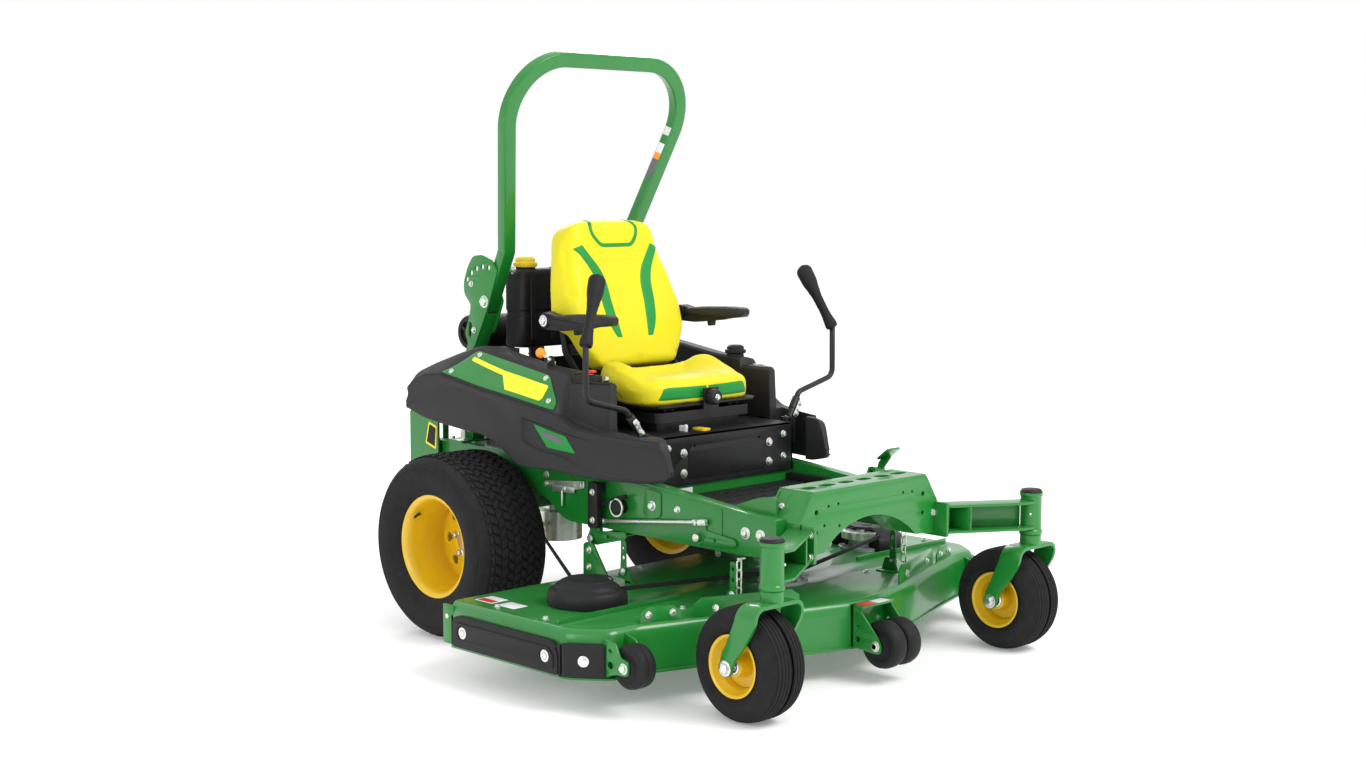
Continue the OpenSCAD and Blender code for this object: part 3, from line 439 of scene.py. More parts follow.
def shade(obj, angle):
    for p in obj.data.polygons:
        p.use_smooth = True
    obj.data.set_sharp_from_angle(angle=math.radians(angle))


SIDES = (("right", -1), ("left", 1))

# Places that several pieces share, in local millimetres
RAIL_IN, RAIL_OUT = 322, 362            # x of the inner and outer face of a frame rail
CASTER_X = 608                          # x of a caster spindle
BOX_SIDE = 315                          # x of the outer face of the seat box
ARM_Y, ARM_Z = 1283, 1045                 # armrest pivot
GAUGE_Y, GAUGE_Z = 316, 150             # axle of the front gauge wheels
ROLLER_Y, ROLLER_Z = 70, 120            # axle of the centre rollers
BLADES = ((-606, 700), (0, 515), (606, 700))    # x and y of the three blade spindles
BELT_PULLEY_R = 79                      # radius of the belt on the blade pulleys
ENGINE_PULLEY = (0, 1600, 93)           # x, y and radius of the belt on the engine pulley
KNOB_Z = 804                            # height of the seat's weight knob
LOCK_Y, LOCK_Z = 1580, 1199             # lock plungers of the roll bar
DECK_SIDE, DECK_REAR, DECK_TOP = 930, 1020, 240


# ---------------------------------------------------------------- wheels

def wheel_size(node):
    """Centre of a wheel, drawn on the left side, with its radius and half its width."""
    low, high = corners(node)
    centre = (low + high) / 2
    centre.x = abs(centre.x)
    return centre, (high.z - low.z) / 2, (high.x - low.x) / 2


def both_ways(half, *middle):
    """A profile of (radius, along), its middle points, and the same profile back on the other side."""
    return half + list(middle) + [(r, -along) for r, along in reversed(half)]


def drive_tyre(side_name, side):
    centre, r, half = wheel_size("drive_tyre_" + side_name)
    s = Shape()
    wall = [(r - 136, half - 32), (r - 128, half - 22), (r - 105, half - 9), (r - 78, half - 1),
            (r - 52, half), (r - 30, half - 7), (r - 15, half - 21), (r - 9, half - 44), (r - 7, half - 80)]
    inner = [(r - 138, 45 - half), (r - 60, 14 - half), (r - 22, 60 - half)]
    s.lathe("x", centre, both_ways(wall, (r - 7, 0)) + both_ways(inner), 96)
    # thin rings moulded in the side wall
    for out in (1, -1):
        for rr, w in ((r - 95, 3), (r - 40, 2.5)):
            x = half - (7 if rr < r - 80 else 3.2)
            s.lathe("x", centre, [(rr - w, out * (x - 4)), (rr - w, out * x), (rr, out * (x + 1.6)),
                                  (rr + w, out * x), (rr + w, out * (x - 4))], 96)
    # turf tread: staggered slanted blocks, and bars that run over the shoulders
    crown = curve([(0, r - 8), (60, r - 8), (92, r - 9.5), (112, r - 14), (128, r - 26), (137, r - 42)])
    count = 58
    pitch = math.tau / count

    def on_tread(angle, along, lift):
        rr = crown(abs(along)) + lift
        push = 1 if abs(along) < 112 else 1 - 0.25 * (lift / 9)
        tip = lift * 0.6 if along > 120 else -lift * 0.6 if along < -120 else 0
        return centre + Vector((along * push + tip, *polar(rr, angle)))

    def block(angle, along, wide, long, slant):
        steps = 3 if long > 30 else 1
        rings = []
        for k in range(steps + 1):
            x = along + long * (k / steps - 0.5)
            a = angle + slant * (k / steps - 0.5)
            h = wide / 2
            rings.append([on_tread(a - h * 1.12, x, -3), on_tread(a - h, x, 7.6),
                          on_tread(a + h, x, 7.6), on_tread(a + h * 1.12, x, -3)])
        s.loft(rings)
    rows = [-81, -54, -27, 0, 27, 54, 81]
    for n in range(count):
        for k, along in enumerate(rows):
            shift = (0.5 if k % 2 else 0) * pitch
            block(n * pitch + shift + 0.10 * abs(along) / 81 * pitch * 3, along, pitch * 0.62, 23.5,
                  pitch * (0.42 if k % 2 else -0.42))
        for out in (1, -1):
            block(n * pitch + 0.45 * pitch, out * 115, pitch * 0.56, 38, out * pitch * 0.55)
    return s.put("drive_tyre_tread_" + side_name, "drive_wheel_" + side_name, TYRE, side=side, bevel=1.1,
                 segments=1, angle=40, replaces="drive_tyre_" + side_name, slot="tyre", smooth=42)


def drive_rim(side_name, side):
    centre = local(PIVOT["drive_wheel_%s_roll" % side_name])
    centre.x = abs(centre.x)
    s = Shape()
    # outer lip, drop well and inner lip in one rolled section
    lip = [(160, 113), (170, 117), (174, 114), (174, 108), (166, 104), (158, 98), (154, 84), (150, 60),
           (143, 48), (143, -52), (150, -70), (154, -88), (160, -100), (172, -108), (174, -113),
           (168, -116), (152, -104), (146, -86), (138, -60), (137, 40), (142, 56), (147, 84), (152, 104)]
    s.lathe("x", centre, lip, 96)
    # dished centre with its vents
    plane = -38
    vents = []
    for k in range(8):
        a = math.tau * k / 8
        shape = [polar(112, a - 0.20), polar(120, a), polar(112, a + 0.20), polar(82, a)]
        vents.append(rounded([(centre.y + u, centre.z + v) for u, v in shape], 12, 5))
    s.prism("x", centre.x + plane - 4, centre.x + plane + 4, disc(centre.y, centre.z, 142, 72), *vents)
    s.lathe("x", centre, [(64, plane + 3), (72, plane + 12), (60, plane + 15), (46, plane + 15),
                          (40, plane + 3)])
    s.mat = 1
    s.lathe("x", centre, [(0, plane - 2), (38, plane - 2), (38, plane + 20), (32, plane + 27),
                          (0, plane + 29)], 40)
    for k in range(5):
        a = math.tau * k / 5 + 0.3
        s.bolt(centre + Vector((plane + 14, *polar(53, a))), (1, 0, 0), 10, 12)
    # valve stem
    s.mat = 2
    s.tube(bent([centre + Vector((84, 110, 92)), centre + Vector((98, 106, 90)),
                 centre + Vector((112, 102, 84))], 6), 4, 10)
    return s.put("drive_rim_dish_" + side_name, "drive_wheel_" + side_name, YELLOW, STEEL, RUBBER,
                 side=side, bevel=1.6, replaces="drive_rim_" + side_name, slot="yellow_paint")


def caster_wheel(side_name, side):
    centre, r, half = wheel_size("caster_tyre_" + side_name)
    s = Shape()
    crown = eased([(0, r), (32, r - 0.5), (52, r - 5), (66, r - 17), (75, r - 34), (80, r - 52)], 10)
    outer = []
    for g in (6, 18, 30, 42, 53):
        rr = crown(g)
        outer += [(crown(g - 2.8), g - 2.8), (rr - 3.4, g - 1.6), (rr - 3.4, g + 1.6),
                  (crown(g + 2.8), g + 2.8)]
    outer += [(r - 40, half - 3), (r - 52, half), (r - 62, half - 2), (r - 70, half - 12),
              (r - 76, half - 13), (r - 80, half - 20)]
    profile = both_ways(outer) + [(r - 66, -half + 24), (r - 30, -half + 30), (r - 30, half - 30),
                                  (r - 66, half - 24)]
    s.lathe("x", centre, profile, 96)
    for out in (1, -1):
        s.lathe("x", centre, [(r - 60, out * (half - 5)), (r - 57, out * (half + 0.6)),
                              (r - 54, out * (half - 5))], 96)
    s.put("caster_tyre_ribbed_" + side_name, "caster_wheel_" + side_name, TYRE, side=side, bevel=0.8,
          segments=1, replaces="caster_tyre_" + side_name, slot="tyre", smooth=50)
    s = Shape()
    for out in (1, -1):
        s.lathe("x", centre, [(r - 76, out * (half - 12)), (r - 74, out * (half - 8)),
                              (r - 78, out * (half - 6)), (r - 84, out * (half - 10)),
                              (r - 88, out * (half - 22)), (r - 96, out * (half - 32)), (r - 99, out * 20),
                              (r - 96, out * 16), (r - 90, out * 18), (r - 82, out * (half - 22))], 72)
    s.lathe("x", centre, both_ways([(r - 98, 22), (r - 100, 26), (r - 128, 20), (r - 134, 30),
                                    (r - 134, 66), (r - 140, 68), (r - 152, 68)]), 72)
    s.mat = 1
    for out in (1, -1):
        s.lathe("x", centre, [(12.4, out * 66), (24, out * 66), (24, out * 70), (20, out * 73),
                              (12.4, out * 73)], 36)
        s.bolt(centre + Vector((out * 46, 0, 27)), (0, 0.2, 1), 3.5, 6, washer=False)
    return s.put("caster_rim_pressed_" + side_name, "caster_wheel_" + side_name, YELLOW, STEEL, side=side,
                 bevel=1.2, replaces="caster_rim_" + side_name, slot="yellow_paint")


def caster_fork(side_name, side):
    x = abs(local(PIVOT["caster_%s_swivel" % side_name]).x)
    axle = local(PIVOT["caster_wheel_%s_roll" % side_name])
    s = Shape()
    # one flat strap bent down both sides of the wheel
    front = eased([(141, 80), (150, 66), (165, 59), (190, 50), (240, 8), (300, -28), (352, -34)], 26)
    rear = eased([(141, 86), (150, 100), (165, 107), (200, 97), (240, 77), (300, 50), (352, 34)], 26)
    arch = [(p.x, p.z) for p in bent([(-94, 0, 141), (-94, 0, 200), (-94, 0, 270), (-94, 0, 346),
                                      (94, 0, 346), (94, 0, 270), (94, 0, 200), (94, 0, 141)], 30, 7)]
    arch = [q for i, q in enumerate(arch) if i == 0 or math.dist(q, arch[i - 1]) > 1]
    fine = [arch[0]]
    for q in arch[1:]:
        steps = max(1, round(math.dist(fine[-1], q) / 12))
        last = fine[-1]
        fine += [(last[0] + (q[0] - last[0]) * k / steps, last[1] + (q[1] - last[1]) * k / steps)
                 for k in range(1, steps + 1)]
    outer, inner = inset_path(fine, 6), inset_path(fine, -6)
    s.loft([[Vector((x + o[0], front(q[1]), o[1])), Vector((x + o[0], rear(q[1]), o[1])),
             Vector((x + i[0], rear(q[1]), i[1])), Vector((x + i[0], front(q[1]), i[1]))]
            for q, o, i in zip(fine, outer, inner)])
    for out in (1, -1):
        s.rod("x", x + out * 88 if out > 0 else x - 100, x + 100 if out > 0 else x - 88, axle.y, axle.z, 25,
              32, 1)
    s.rod("z", 345, 384, x, 0, 34, 40, 2)
    s.rod("z", 340, 516, x, 0, 21.5, 32, 1)
    s.mat = 1
    s.rod("x", x - 112, x + 112, axle.y, axle.z, 11.8, 24, 1)
    s.bolt((x + 100, axle.y, axle.z), (1, 0, 0), 17, 9)
    s.bolt((x - 100, axle.y, axle.z), (-1, 0, 0), 17, 9)
    return s.put("caster_fork_strap_" + side_name, "caster_" + side_name, GREEN, STEEL, side=side,
                 bevel=1.6, replaces="caster_fork_" + side_name, slot="green_paint")


for side_name, side in SIDES:
    drive_tyre(side_name, side)
    drive_rim(side_name, side)
    caster_wheel(side_name, side)
    caster_fork(side_name, side)


# ---------------------------------------------------------------- frame

def frame_rail(side_name, side):
    s = Shape()
    x2 = RAIL_OUT
    outline = [(212, 400, 4), (212, 519, 4), (360, 527, 60), (660, 558, 60), (1150, 600, 40),
               (1900, 600, 3), (1900, 470, 3), (1250, 470, 30), (1150, 400, 40), (660, 396, 30),
               (360, 396, 10)]
    s.prism("x", RAIL_IN, x2, rounded(outline, 4, 6))
    # doubler plate along the front half, and the lifting eye below the rail
    s.prism("x", x2 - 1, x2 + 3, rounded([(430, 406), (430, 526), (720, 553), (1080, 585), (1080, 420),
            (700, 408)], 10))
    s.prism("x", 350, 359, rounded([(975, 404), (1035, 404), (1024, 338), (984, 338)], 14),
            disc(1003, 362, 15))
    for y in (620, 1010, 1240, 1560, 1820):
        s.bolt((x2 + (3 if y < 1080 else 0), y, 500 if y < 1100 else 540), (1, 0, 0), mat=1)
    for y in (272, 333):
        s.mat = 1
        s.rod("x", x2 - 1, x2 + 4, y, 465, 19, 32, 0.8)
        s.bolt((x2 + 4, y, 465), (1, 0, 0), 11, 8)
        s.mat = 0
    if side > 0:
        s.prism("x", 350, 358, rounded([(418, 528), (474, 532), (460, 578), (432, 578)], 10))
        s.mat = 1
        s.rod("x", 350, 409, 446, 560, 8, 24, 1)
        s.bolt((404.6, 446, 560), (1, 0, 0), 11, 5, washer=False)
        s.mat = 0
    # brake stub and its bracket under the nose of the fender
    s.prism("x", x2 - 1, x2 + 8, rounded([(690, 545), (760, 552), (770, 470), (735, 452), (690, 470)], 12))
    s.bolt((x2 + 8, 728, 500), (1, 0, 0), 12, 9, mat=1)
    return s.put("frame_rail_pressed_" + side_name, "chassis", GREEN, ZINC, side=side, bevel=2.5,
                 segments=3, replaces="frame_rails" if side < 0 else (), slot="green_paint")


def front_beam():
    low, _ = corners("front_crossmember")
    y1, y2, top = low.y, 290, 596
    s = Shape()
    arch = [(316 * math.cos(a), 181 + 316 * math.sin(a))
            for a in [math.radians(137 - k * 94 / 24) for k in range(25)]]
    body = rounded([(-322, 402, 3), (-322, 508, 10), (-264, top, 16), (264, top, 16), (322, 508, 10),
                    (322, 402, 3)], 3)
    front = body + [(p[0], p[1]) for p in reversed(arch) if p[1] > 402]
    s.prism("y", y1, y1 + 8, front, *[disc(x, z, r, 16) for x in (-250, 250) for z,
                                      r in ((535, 8), (475, 7))], *[disc(x, z, 5, 12) for x,
                                      z in ((-196, 548), (-152, 550), (-214, 492), (-146, 484), (196, 548),
                                      (152, 550))])
    s.prism("y", y2 - 8, y2, front)
    # top plate that folds down at both ends
    holes = []
    for k in range(6):
        cx = (k - 2.5) * 84
        holes.append([(cx + (12 if math.cos(a) > 0 else -12) + 17 * math.cos(a), 222 + 17 * math.sin(a))
                      for a in [math.tau * i / 20 for i in range(20)]])
    s.prism("z", top - 8, top + 0.5, rect(-262, 262, y1 - 0.5, y2 + 0.5), *holes)
    for out in (1, -1):
        s.prism("y", y1, y2, [(out * 260, top), (out * 322, 508), (out * 322, 498), (out * 254, top - 8)])
        s.prism("x", out * 318 - 3, out * 318 + 3, rect(y1, y2, 402, 508))
    # arch lining
    outer = [p for p in arch if p[1] > 402]
    s.prism("y", y1 + 4, y2 - 4, outer + [(p[0] * 1.02, p[1] + 6) for p in reversed(outer)])
    # gussets to the rails, and the riser under the seat box
    for out in (1, -1):
        s.prism("x", out * 318 - 4, out * 318 + 4, rounded([(250, 576), (320, 568), (430, 530), (430, 440),
                (250, 402)], 8))
    s.prism("y", 771, 779, rounded([(-322, 430), (-322, 540), (322, 540), (322, 430)], 4),
            *[disc(x, 450, 12, 20) for x in (-200, 0, 200)])
    s.mat = 1
    for out in (1, -1):
        s.bolt((out * 292, 250, 545), (out * 0.8, 0, 0.6), 11, 9)
        s.bolt((out * 305, y1, 470), (0, -1, 0))
    # blank labels
    s.mat = 2
    s.prism("y", 770.3, 771.2, rect(-262, -150, 496, 530, 3))
    s.put("front_beam_folded", "chassis", GREEN, ZINC, LABEL, bevel=2.0, segments=3,
          replaces="front_crossmember", slot="green_paint")


def caster_arm(side_name, side):
    s = Shape()
    x = CASTER_X
    top = [(318, 112), (318, 204), (x - 24, 30), (x + 10, 12), (x - 10, -30), (x - 66, -26)]
    for z in (404, 486):
        s.prism("z", z, z + 8, rounded(top, 12, 5))
    s.prism("z", 408, 490, [(318, 196), (318, 204), (x - 22, 32), (x - 26, 24)])
    s.prism("x", 306, 318, rect(104, 207, 396, 504, 6))
    s.prism("x", 384, 391, [(70, 408), (158, 408), (158, 490), (70, 490)])
    s.lathe("z", (x, 0, 0), [(22.1, 385), (37, 385), (37, 397), (34, 400), (34, 506), (37, 508), (37, 518),
                             (22.1, 518)], 56)
    s.mat = 2
    s.lathe("z", (x, 0, 0), [(0, 516), (35, 516), (35.5, 521), (33, 524), (30, 528), (0, 530)])
    s.mat = 1
    for y in (118, 192):
        for z in (418, 482):
            s.bolt((318, y, z), (1, 0, 0))
    s.ball((x - 30, -18, 452), 5)
    s.put("caster_arm_channel_" + side_name, "chassis", GREEN, ZINC, PLASTIC, side=side, bevel=1.8,
          replaces="caster_arm_" + side_name, slot="green_paint")


def roll_bar():
    _, high = corners("roll_bar_hoop")
    lean = math.radians(18.4)
    knee = Vector((0, 1529, 1260))
    up = Vector((0, -math.sin(lean), math.cos(lean)))
    deep = Vector((0, math.cos(lean), math.sin(lean)))
    w, d = 51, 40
    height = (high.z - knee.z - d * math.sin(lean)) / math.cos(lean)
    splay = math.radians(13.8)
    x0 = 272.5
    mid = knee + deep * (d / 2)

    def on_plane(x, h):
        return mid + up * h + Vector((x, 0, 0))
    h_top = height - w / 2
    x_top = x0 + h_top * math.tan(splay)
    foot, top = Vector((x0, 1645, 1064)), on_plane(x_top, h_top)
    flip = Vector((-1, 1, 1))
    half = bent([foot, on_plane(x0, 0), on_plane(x0, 0).lerp(top, 0.3)], 30, 5)[:-1]
    corner = bent([on_plane(x0, 0), top, top * flip], 197, 24)[1:-1]
    path = half + corner
    path += [p * flip for p in reversed(path)]
    s = Shape()
    s.sweep(path, rect(-w / 2, w / 2, -d / 2, d / 2, 7), up=(0, math.cos(lean), math.sin(lean)))
    for out in (1, -1):
        s.mat = 1
        s.rod("x", *span(out, 232, 247), LOCK_Y, LOCK_Z, 13, 28, 1)
        s.rod("x", *span(out, 216, 233), LOCK_Y, LOCK_Z, 7, 20, 1)
        s.lathe("x", (out * 219, LOCK_Y, LOCK_Z), [(0, -3), (14, -3), (14, 3), (0, 3)], 28)
    # blank labels on the inner face of the left leg
    inner = (on_plane(x_top, h_top) - on_plane(x0, 0)).normalized()
    side_in = inner.cross(deep).normalized()
    if side_in.x > 0:
        side_in = -side_in

    def tag(h1, h2, mat):
        s.mat = mat
        plate = ((0.1, -15), (0.9, -15), (0.9, 15), (0.1, 15))
        s.loft([[on_plane(x0, 0) + inner * h + side_in * (w / 2 + k) + deep * e for k, e in plate]
                for h in (h1, h2)])
    for h1, h2, mat in ((430, 545, 2), (362, 398, 2), (338, 362, 3), (268, 336, 4)):
        tag(h1, h2, mat)
    s.put("roll_bar_hoop_tube", "roll_bar", GREEN, ZINC, LABEL, ORANGE, LABEL_GREY, bevel=0.9, segments=1,
          angle=50, replaces="roll_bar_hoop", slot="green_paint", smooth=50)


def roll_bar_legs():
    s = Shape()
    x0 = 272
    pivot = local(PIVOT["roll_bar_fold"])
    holes = [disc(pivot.y + 120 * math.cos(math.radians(a)), pivot.z + 120 * math.sin(math.radians(a)), 8.5,
                  20) for a in (38, 54, 70, 86, 102)]
    slot_hole = rounded([(1700, 1012), (1716, 1020), (1722, 968), (1708, 960)], 8, 5)
    for out in (1, -1):
        leg = [(1634, 1046), (1712, 880, 30), (1710, 608), (1756, 608), (1757, 890, 30), (1672, 1064)]
        s.prism("x", *span(out, x0 - 26, x0 + 26), rounded(leg, 4, 5))
        cheek = rounded([(1578, 1158), (1562, 1196), (1588, 1234), (1640, 1252), (1694, 1246), (1724, 1206),
                         (1746, 1150), (1742, 1112), (1706, 1078), (1718, 1030), (1740, 980), (1714, 918),
                         (1690, 930), (1612, 1076)], 16, 5)
        s.prism("x", *span(out, x0 + 26.5, x0 + 32.5), cheek, *holes, slot_hole)
        inner = rounded([(1602, 1096), (1655, 976), (1716, 1000), (1668, 1120), (1630, 1130)], 18, 6)
        s.prism("x", *span(out, x0 - 32.5, x0 - 26.5), inner)
        s.prism("z", 600, 608, rect(*span(out, 238, 362), 1690, 1778, 8))
        s.prism("x", *span(out, x0 - 32, x0 - 24), rounded([(1750, 606), (1822, 606), (1756, 724)], 6))
        s.mat = 1
        s.rod("x", *span(out, x0 - 40, x0 + 40), pivot.y, pivot.z, 9.9, 24, 1)
        s.bolt((out * (x0 + 32.5), pivot.y, pivot.z), (out, 0, 0), 16, 10)
        s.bolt((out * (x0 - 32.5), pivot.y, pivot.z), (-out, 0, 0), 16, 9)
        for y, z in ((1702, 1150), (1690, 990)):
            s.bolt((out * (x0 + 32.5), y, z), (out, 0, 0), 8, 6)
        for y in (1702, 1766):
            s.bolt((out * 344, y, 608), (0, 0, 1), 10, 8)
            s.bolt((out * (x0 + 26), 1733, 640 + (y - 1700)), (out, 0, 0))
        s.mat = 0
    s.put("roll_bar_legs_welded", "chassis", GREEN, ZINC, bevel=1.8, replaces="roll_bar_base",
          slot="green_paint")


for side_name, side in SIDES:
    frame_rail(side_name, side)
    caster_arm(side_name, side)
front_beam()
roll_bar()
roll_bar_legs()


# ---------------------------------------------------------------- fenders

plan_x = eased([(646, 376), (700, 402), (750, 425), (850, 463), (950, 490), (1050, 507), (1150, 516),
                (1220, 520), (1796, 520)], 30)
lip = eased([(646, 600), (657, 582), (705, 572), (798, 572), (893, 577), (967, 581), (1047, 590),
             (1145, 587), (1201, 589), (1259, 624), (1320, 655), (1393, 673), (1499, 680), (1630, 692),
             (1708, 703), (1770, 721), (1796, 727)], 16)
flare = eased([(646, 602), (657, 590), (705, 582), (850, 588), (900, 600), (943, 610), (1014, 634),
               (1098, 645), (1171, 661), (1228, 699), (1288, 745), (1349, 780), (1411, 799), (1500, 811),
               (1620, 806), (1796, 770)], 24)
recess_top = eased([(646, 604), (662, 648), (686, 686), (797, 687), (900, 696), (989, 712), (1098, 735),
                    (1207, 752), (1260, 775), (1349, 800), (1470, 822), (1620, 835), (1796, 786)], 16)
seam = eased([(646, 606), (662, 661), (677, 694), (690, 701), (868, 715), (962, 727), (1054, 774),
              (1109, 782), (1232, 802), (1417, 824), (1606, 857), (1700, 848), (1771, 820), (1796, 800)],
              14)
ridge_x = eased([(1046, 428), (1135, 428), (1519, 420), (1606, 445), (1700, 475), (1771, 496), (1796, 500)],
                30)
ridge_z = eased([(1046, 884), (1135, 890), (1519, 949), (1606, 918), (1700, 880), (1771, 846), (1796, 806)],
                30)
top_z = eased([(1046, 895), (1180, 905), (1396, 937), (1440, 954), (1530, 944), (1745, 858), (1796, 812)],
              30)
console_x = curve([(905, 385), (1046, 433)])
console_foot = curve([(905, 704), (926, 708), (1046, 748)])


def sink(y):
    """Extra depth of the pointed recess in the side, which runs out toward the nose."""
    return 8 * ramp(y, 860, 150) if y < 1192 else 0.0


def fender_ring(y):
    """One cross section of a fender, from its inner lower edge round to its inner top edge."""
    inner = 408 if 740 < y < 900 else 354
    out = plan_x(y)
    q = min(1, max(0.1, (y - 642) / 46))
    low, up, rt, gap = lip(y), flare(y), recess_top(y), seam(y)
    up = max(up, low + 8 * q)
    rt = max(rt, up + 14 * q)
    gap = max(gap, rt + 12 * q)
    sunk = 8 + sink(y)

    def at(back, z):
        return max(out - back, inner + 1), z
    points = [(inner, low), at(15, low), at(2, low + 2 * q), at(0, low + 5 * q),
              at(0, low + (up - low) * 0.6), at(7, up), at(sunk, up + 6 * q), at(sunk, rt - 7 * q),
              at(7, rt), at(5, gap - 8 * q), at(6, gap - 2 * q), at(9.5, gap - 1 * q),
              at(9.5, gap + 1.5 * q)]
    if y >= 1046:
        a, b = Vector((out - 8, gap + 2)), Vector((ridge_x(y), ridge_z(y)))
        top = top_z(y)
        points += [a.lerp(b, t) for t in (0.0, 0.25, 0.5, 0.75, 0.97)]
        points += [(b.x - 5, b.y + 3), ((b.x + inner) / 2, (b.y + top) / 2 + 5), (inner + 8, top),
                   (inner, top - 8)]
    elif y >= 905:
        x, foot = console_x(y), console_foot(y)
        points += [at(9, gap + 2), at(20, gap + 3), ((out - 20 + x) / 2, (gap + foot) / 2 + 4),
                   (x + 6, foot), (x, foot + 9), (x - 4, 858), (x - 12, 868), (inner + 8, 868),
                   (inner, 860)]
    else:
        edge = max(out - 9, inner + 1)
        points += [(edge + (inner - edge) * t, gap + (2 + 9 * math.sin(t * math.pi / 1.7)) * q)
                   for t in (0, 0.12, 0.28, 0.42, 0.56, 0.7, 0.84, 0.95)] + [(inner, gap + 3 * q)]
    return [Vector((p[0], y, p[1])) for p in points]


def chamfer(y, t, lift=0.0):
    """A point on the sloped upper face of a fender: t runs from its ridge down to its seam."""
    a, b = Vector((ridge_x(y), ridge_z(y))), Vector((plan_x(y) - 8, seam(y) + 2))
    out = Vector((a.y - b.y, b.x - a.x)).normalized()
    p = a.lerp(b, t) + out * lift
    return Vector((p.x, y, p.y))


def chamfer_patch(s, edge, lift, depth=3.0, steps=14):
    """A thin plate on the sloped face. Each row of edge is (y, upper t, lower t)."""
    low = [(r[0], r[1]) for r in edge]
    high = [(r[0], r[2]) for r in edge]
    upper, lower = curve(low), curve(high)
    ys = sorted({r[0] for r in edge} | {edge[0][0] + (edge[-1][0] - edge[0][0]) * k / steps
                                        for k in range(steps + 1)})
    rings = []
    for y in ys:
        ts = [upper(y) + (lower(y) - upper(y)) * k / 5 for k in range(6)]
        rings.append([chamfer(y, t, lift) for t in ts] + [chamfer(y, t, lift - depth)
                for t in reversed(ts)])
    s.loft(rings)


def side_patch(s, edge, lift):
    """A thin plate in the sunk side. Each row of edge is (y, lower z, upper z)."""
    lower, upper = curve([(r[0], r[1]) for r in edge]), curve([(r[0], r[2]) for r in edge])
    first, last = edge[0][0], edge[-1][0]
    rings = []
    for y in sorted({first + (last - first) * k / 12 for k in range(13)} | {r[0] for r in edge}):
        zs = [lower(y) + (upper(y) - lower(y)) * k / 3 for k in range(4)]
        x = plan_x(y) - 8 - sink(y)
        rings.append([Vector((x + lift, y, z)) for z in zs] + [Vector((x - 2, y, z)) for z in reversed(zs)])
    s.loft(rings)


def fender(side_name, side):
    stations = [646, 649, 653, 658, 663, 669, 675, 681, 687, 695, 710, 725, 738.5, 741]
    stations += [760, 780, 800, 820, 840, 860, 880, 892, 898.5, 901.5, 904, 906.5, 920, 935, 950, 965, 980,
                 995, 1010, 1030, 1041, 1047.5]
    stations += [1050 + 14 * k for k in range(9)] + [1176, 1186, 1192, 1196, 1206]
    stations += [1220 + 13 * k for k in range(43)] + [1772, 1782, 1790, 1796]
    s = Shape()
    s.loft([fender_ring(y) for y in stations])
    # upper lid of the console, with its split line
    s.prism("z", 866, 870, rounded([(362, 915), (382, 915), (424, 1038), (424, 1060), (362, 1060)], 5))
    for y in (930, 1060, 1300, 1480):
        s.box(354, 358, y, y + 30, 600 if y < 1250 else 690, 700 if y < 1250 else 780)
    # blank name plate sunk in the side
    s.mat = 2
    side_patch(s, [(966, 650, 653), (1005, 653, 701), (1081, 660, 717), (1138, 726, 729)], 1.6)
    s.mat = 1
    side_patch(s, [(1012, 676, 684), (1036, 677, 699), (1090, 690, 709), (1104, 708, 712)], 2.4)
    s.mat = 0
    if side < 0:
        # switch block, throttle bracket and its pin
        s.mat = 3
        s.prism("z", 866, 889, rounded([(366, 958), (388, 952), (424, 1040), (424, 1104), (366, 1104)], 6))
        for k in range(6):
            s.rod("z", 889, 893, 384 + 22 * (k % 2), 1010 + 30 * (k // 2), 6.5, 18, 0.8)
        s.prism("x", 382, 388, rounded([(1166, 890), (1206, 896), (1196, 938), (1176, 938)], 6))
        s.rod("x", 386, 407, 1186, 926, 4, 20, 0.5)
        s.rod("x", 406.5, 409, 1186, 926, 8, 20, 0.5)
        s.mat = 4
        s.box(372, 381.5, 1180, 1192, 902, 920)
        s.mat = 3
        s.lathe("z", (392, 985, 0), [(6.1, 866), (15, 866), (15, 889), (12, 892), (6.1, 892)], 28)
        # key switch
        s.rod("z", 868, 876, 372, 935, 9, 24, 1)
        s.mat = 4
        s.rod("z", 876, 879, 372, 935, 7, 24, 0.8)
        s.box(370.5, 373.5, 926, 944, 878, 888)
    else:
        s.mat = 3
        s.lathe("z", (392, 1104, 0), [(0, 880), (31, 880), (31, 888), (29, 904.5), (0, 904.5)], 36)
        s.rod("z", 868, 872, 398, 1000, 18, 36, 1)
        s.mat = 4
        s.lathe("z", (398, 1000, 0), [(16, 870), (18.5, 870), (18.5, 873), (16, 873)], 36)
    s.put("fender_moulding_" + side_name, "chassis", GREY, LABEL_GREY, PIPING, PLASTIC, ZINC, side=side,
          bevel=1.8, angle=24, replaces=("fender_" + side_name, "fender_nose_" + side_name),
          slot="grey_plastic", smooth=34)
    panel = Shape()
    chamfer_patch(panel, [(1050, 0.78, 0.93), (1056, 0.68, 0.95), (1124, 0.16, 0.95), (1136, 0.10, 0.95),
                          (1496, 0.10, 0.95), (1510, 0.15, 0.95), (1594, 0.80, 0.95), (1604, 0.88, 0.93)],
                          3.4, 3.2, 26)
    panel.mat = 1
    chamfer_patch(panel, [(1112, 0.40, 0.74), (1120, 0.37, 0.83), (1285, 0.37, 0.84), (1330, 0.37, 0.50),
                          (1500, 0.29, 0.41), (1506, 0.31, 0.39)], 4.4, 1.2, 20)
    for y, t in ((1082, 0.76), (1142, 0.20), (1486, 0.20), (1566, 0.82)):
        at, off = chamfer(y, t, 3.2), chamfer(y, t, 10)
        panel.bolt(at, off - at, 7.5, 4, mat=2)
    return panel


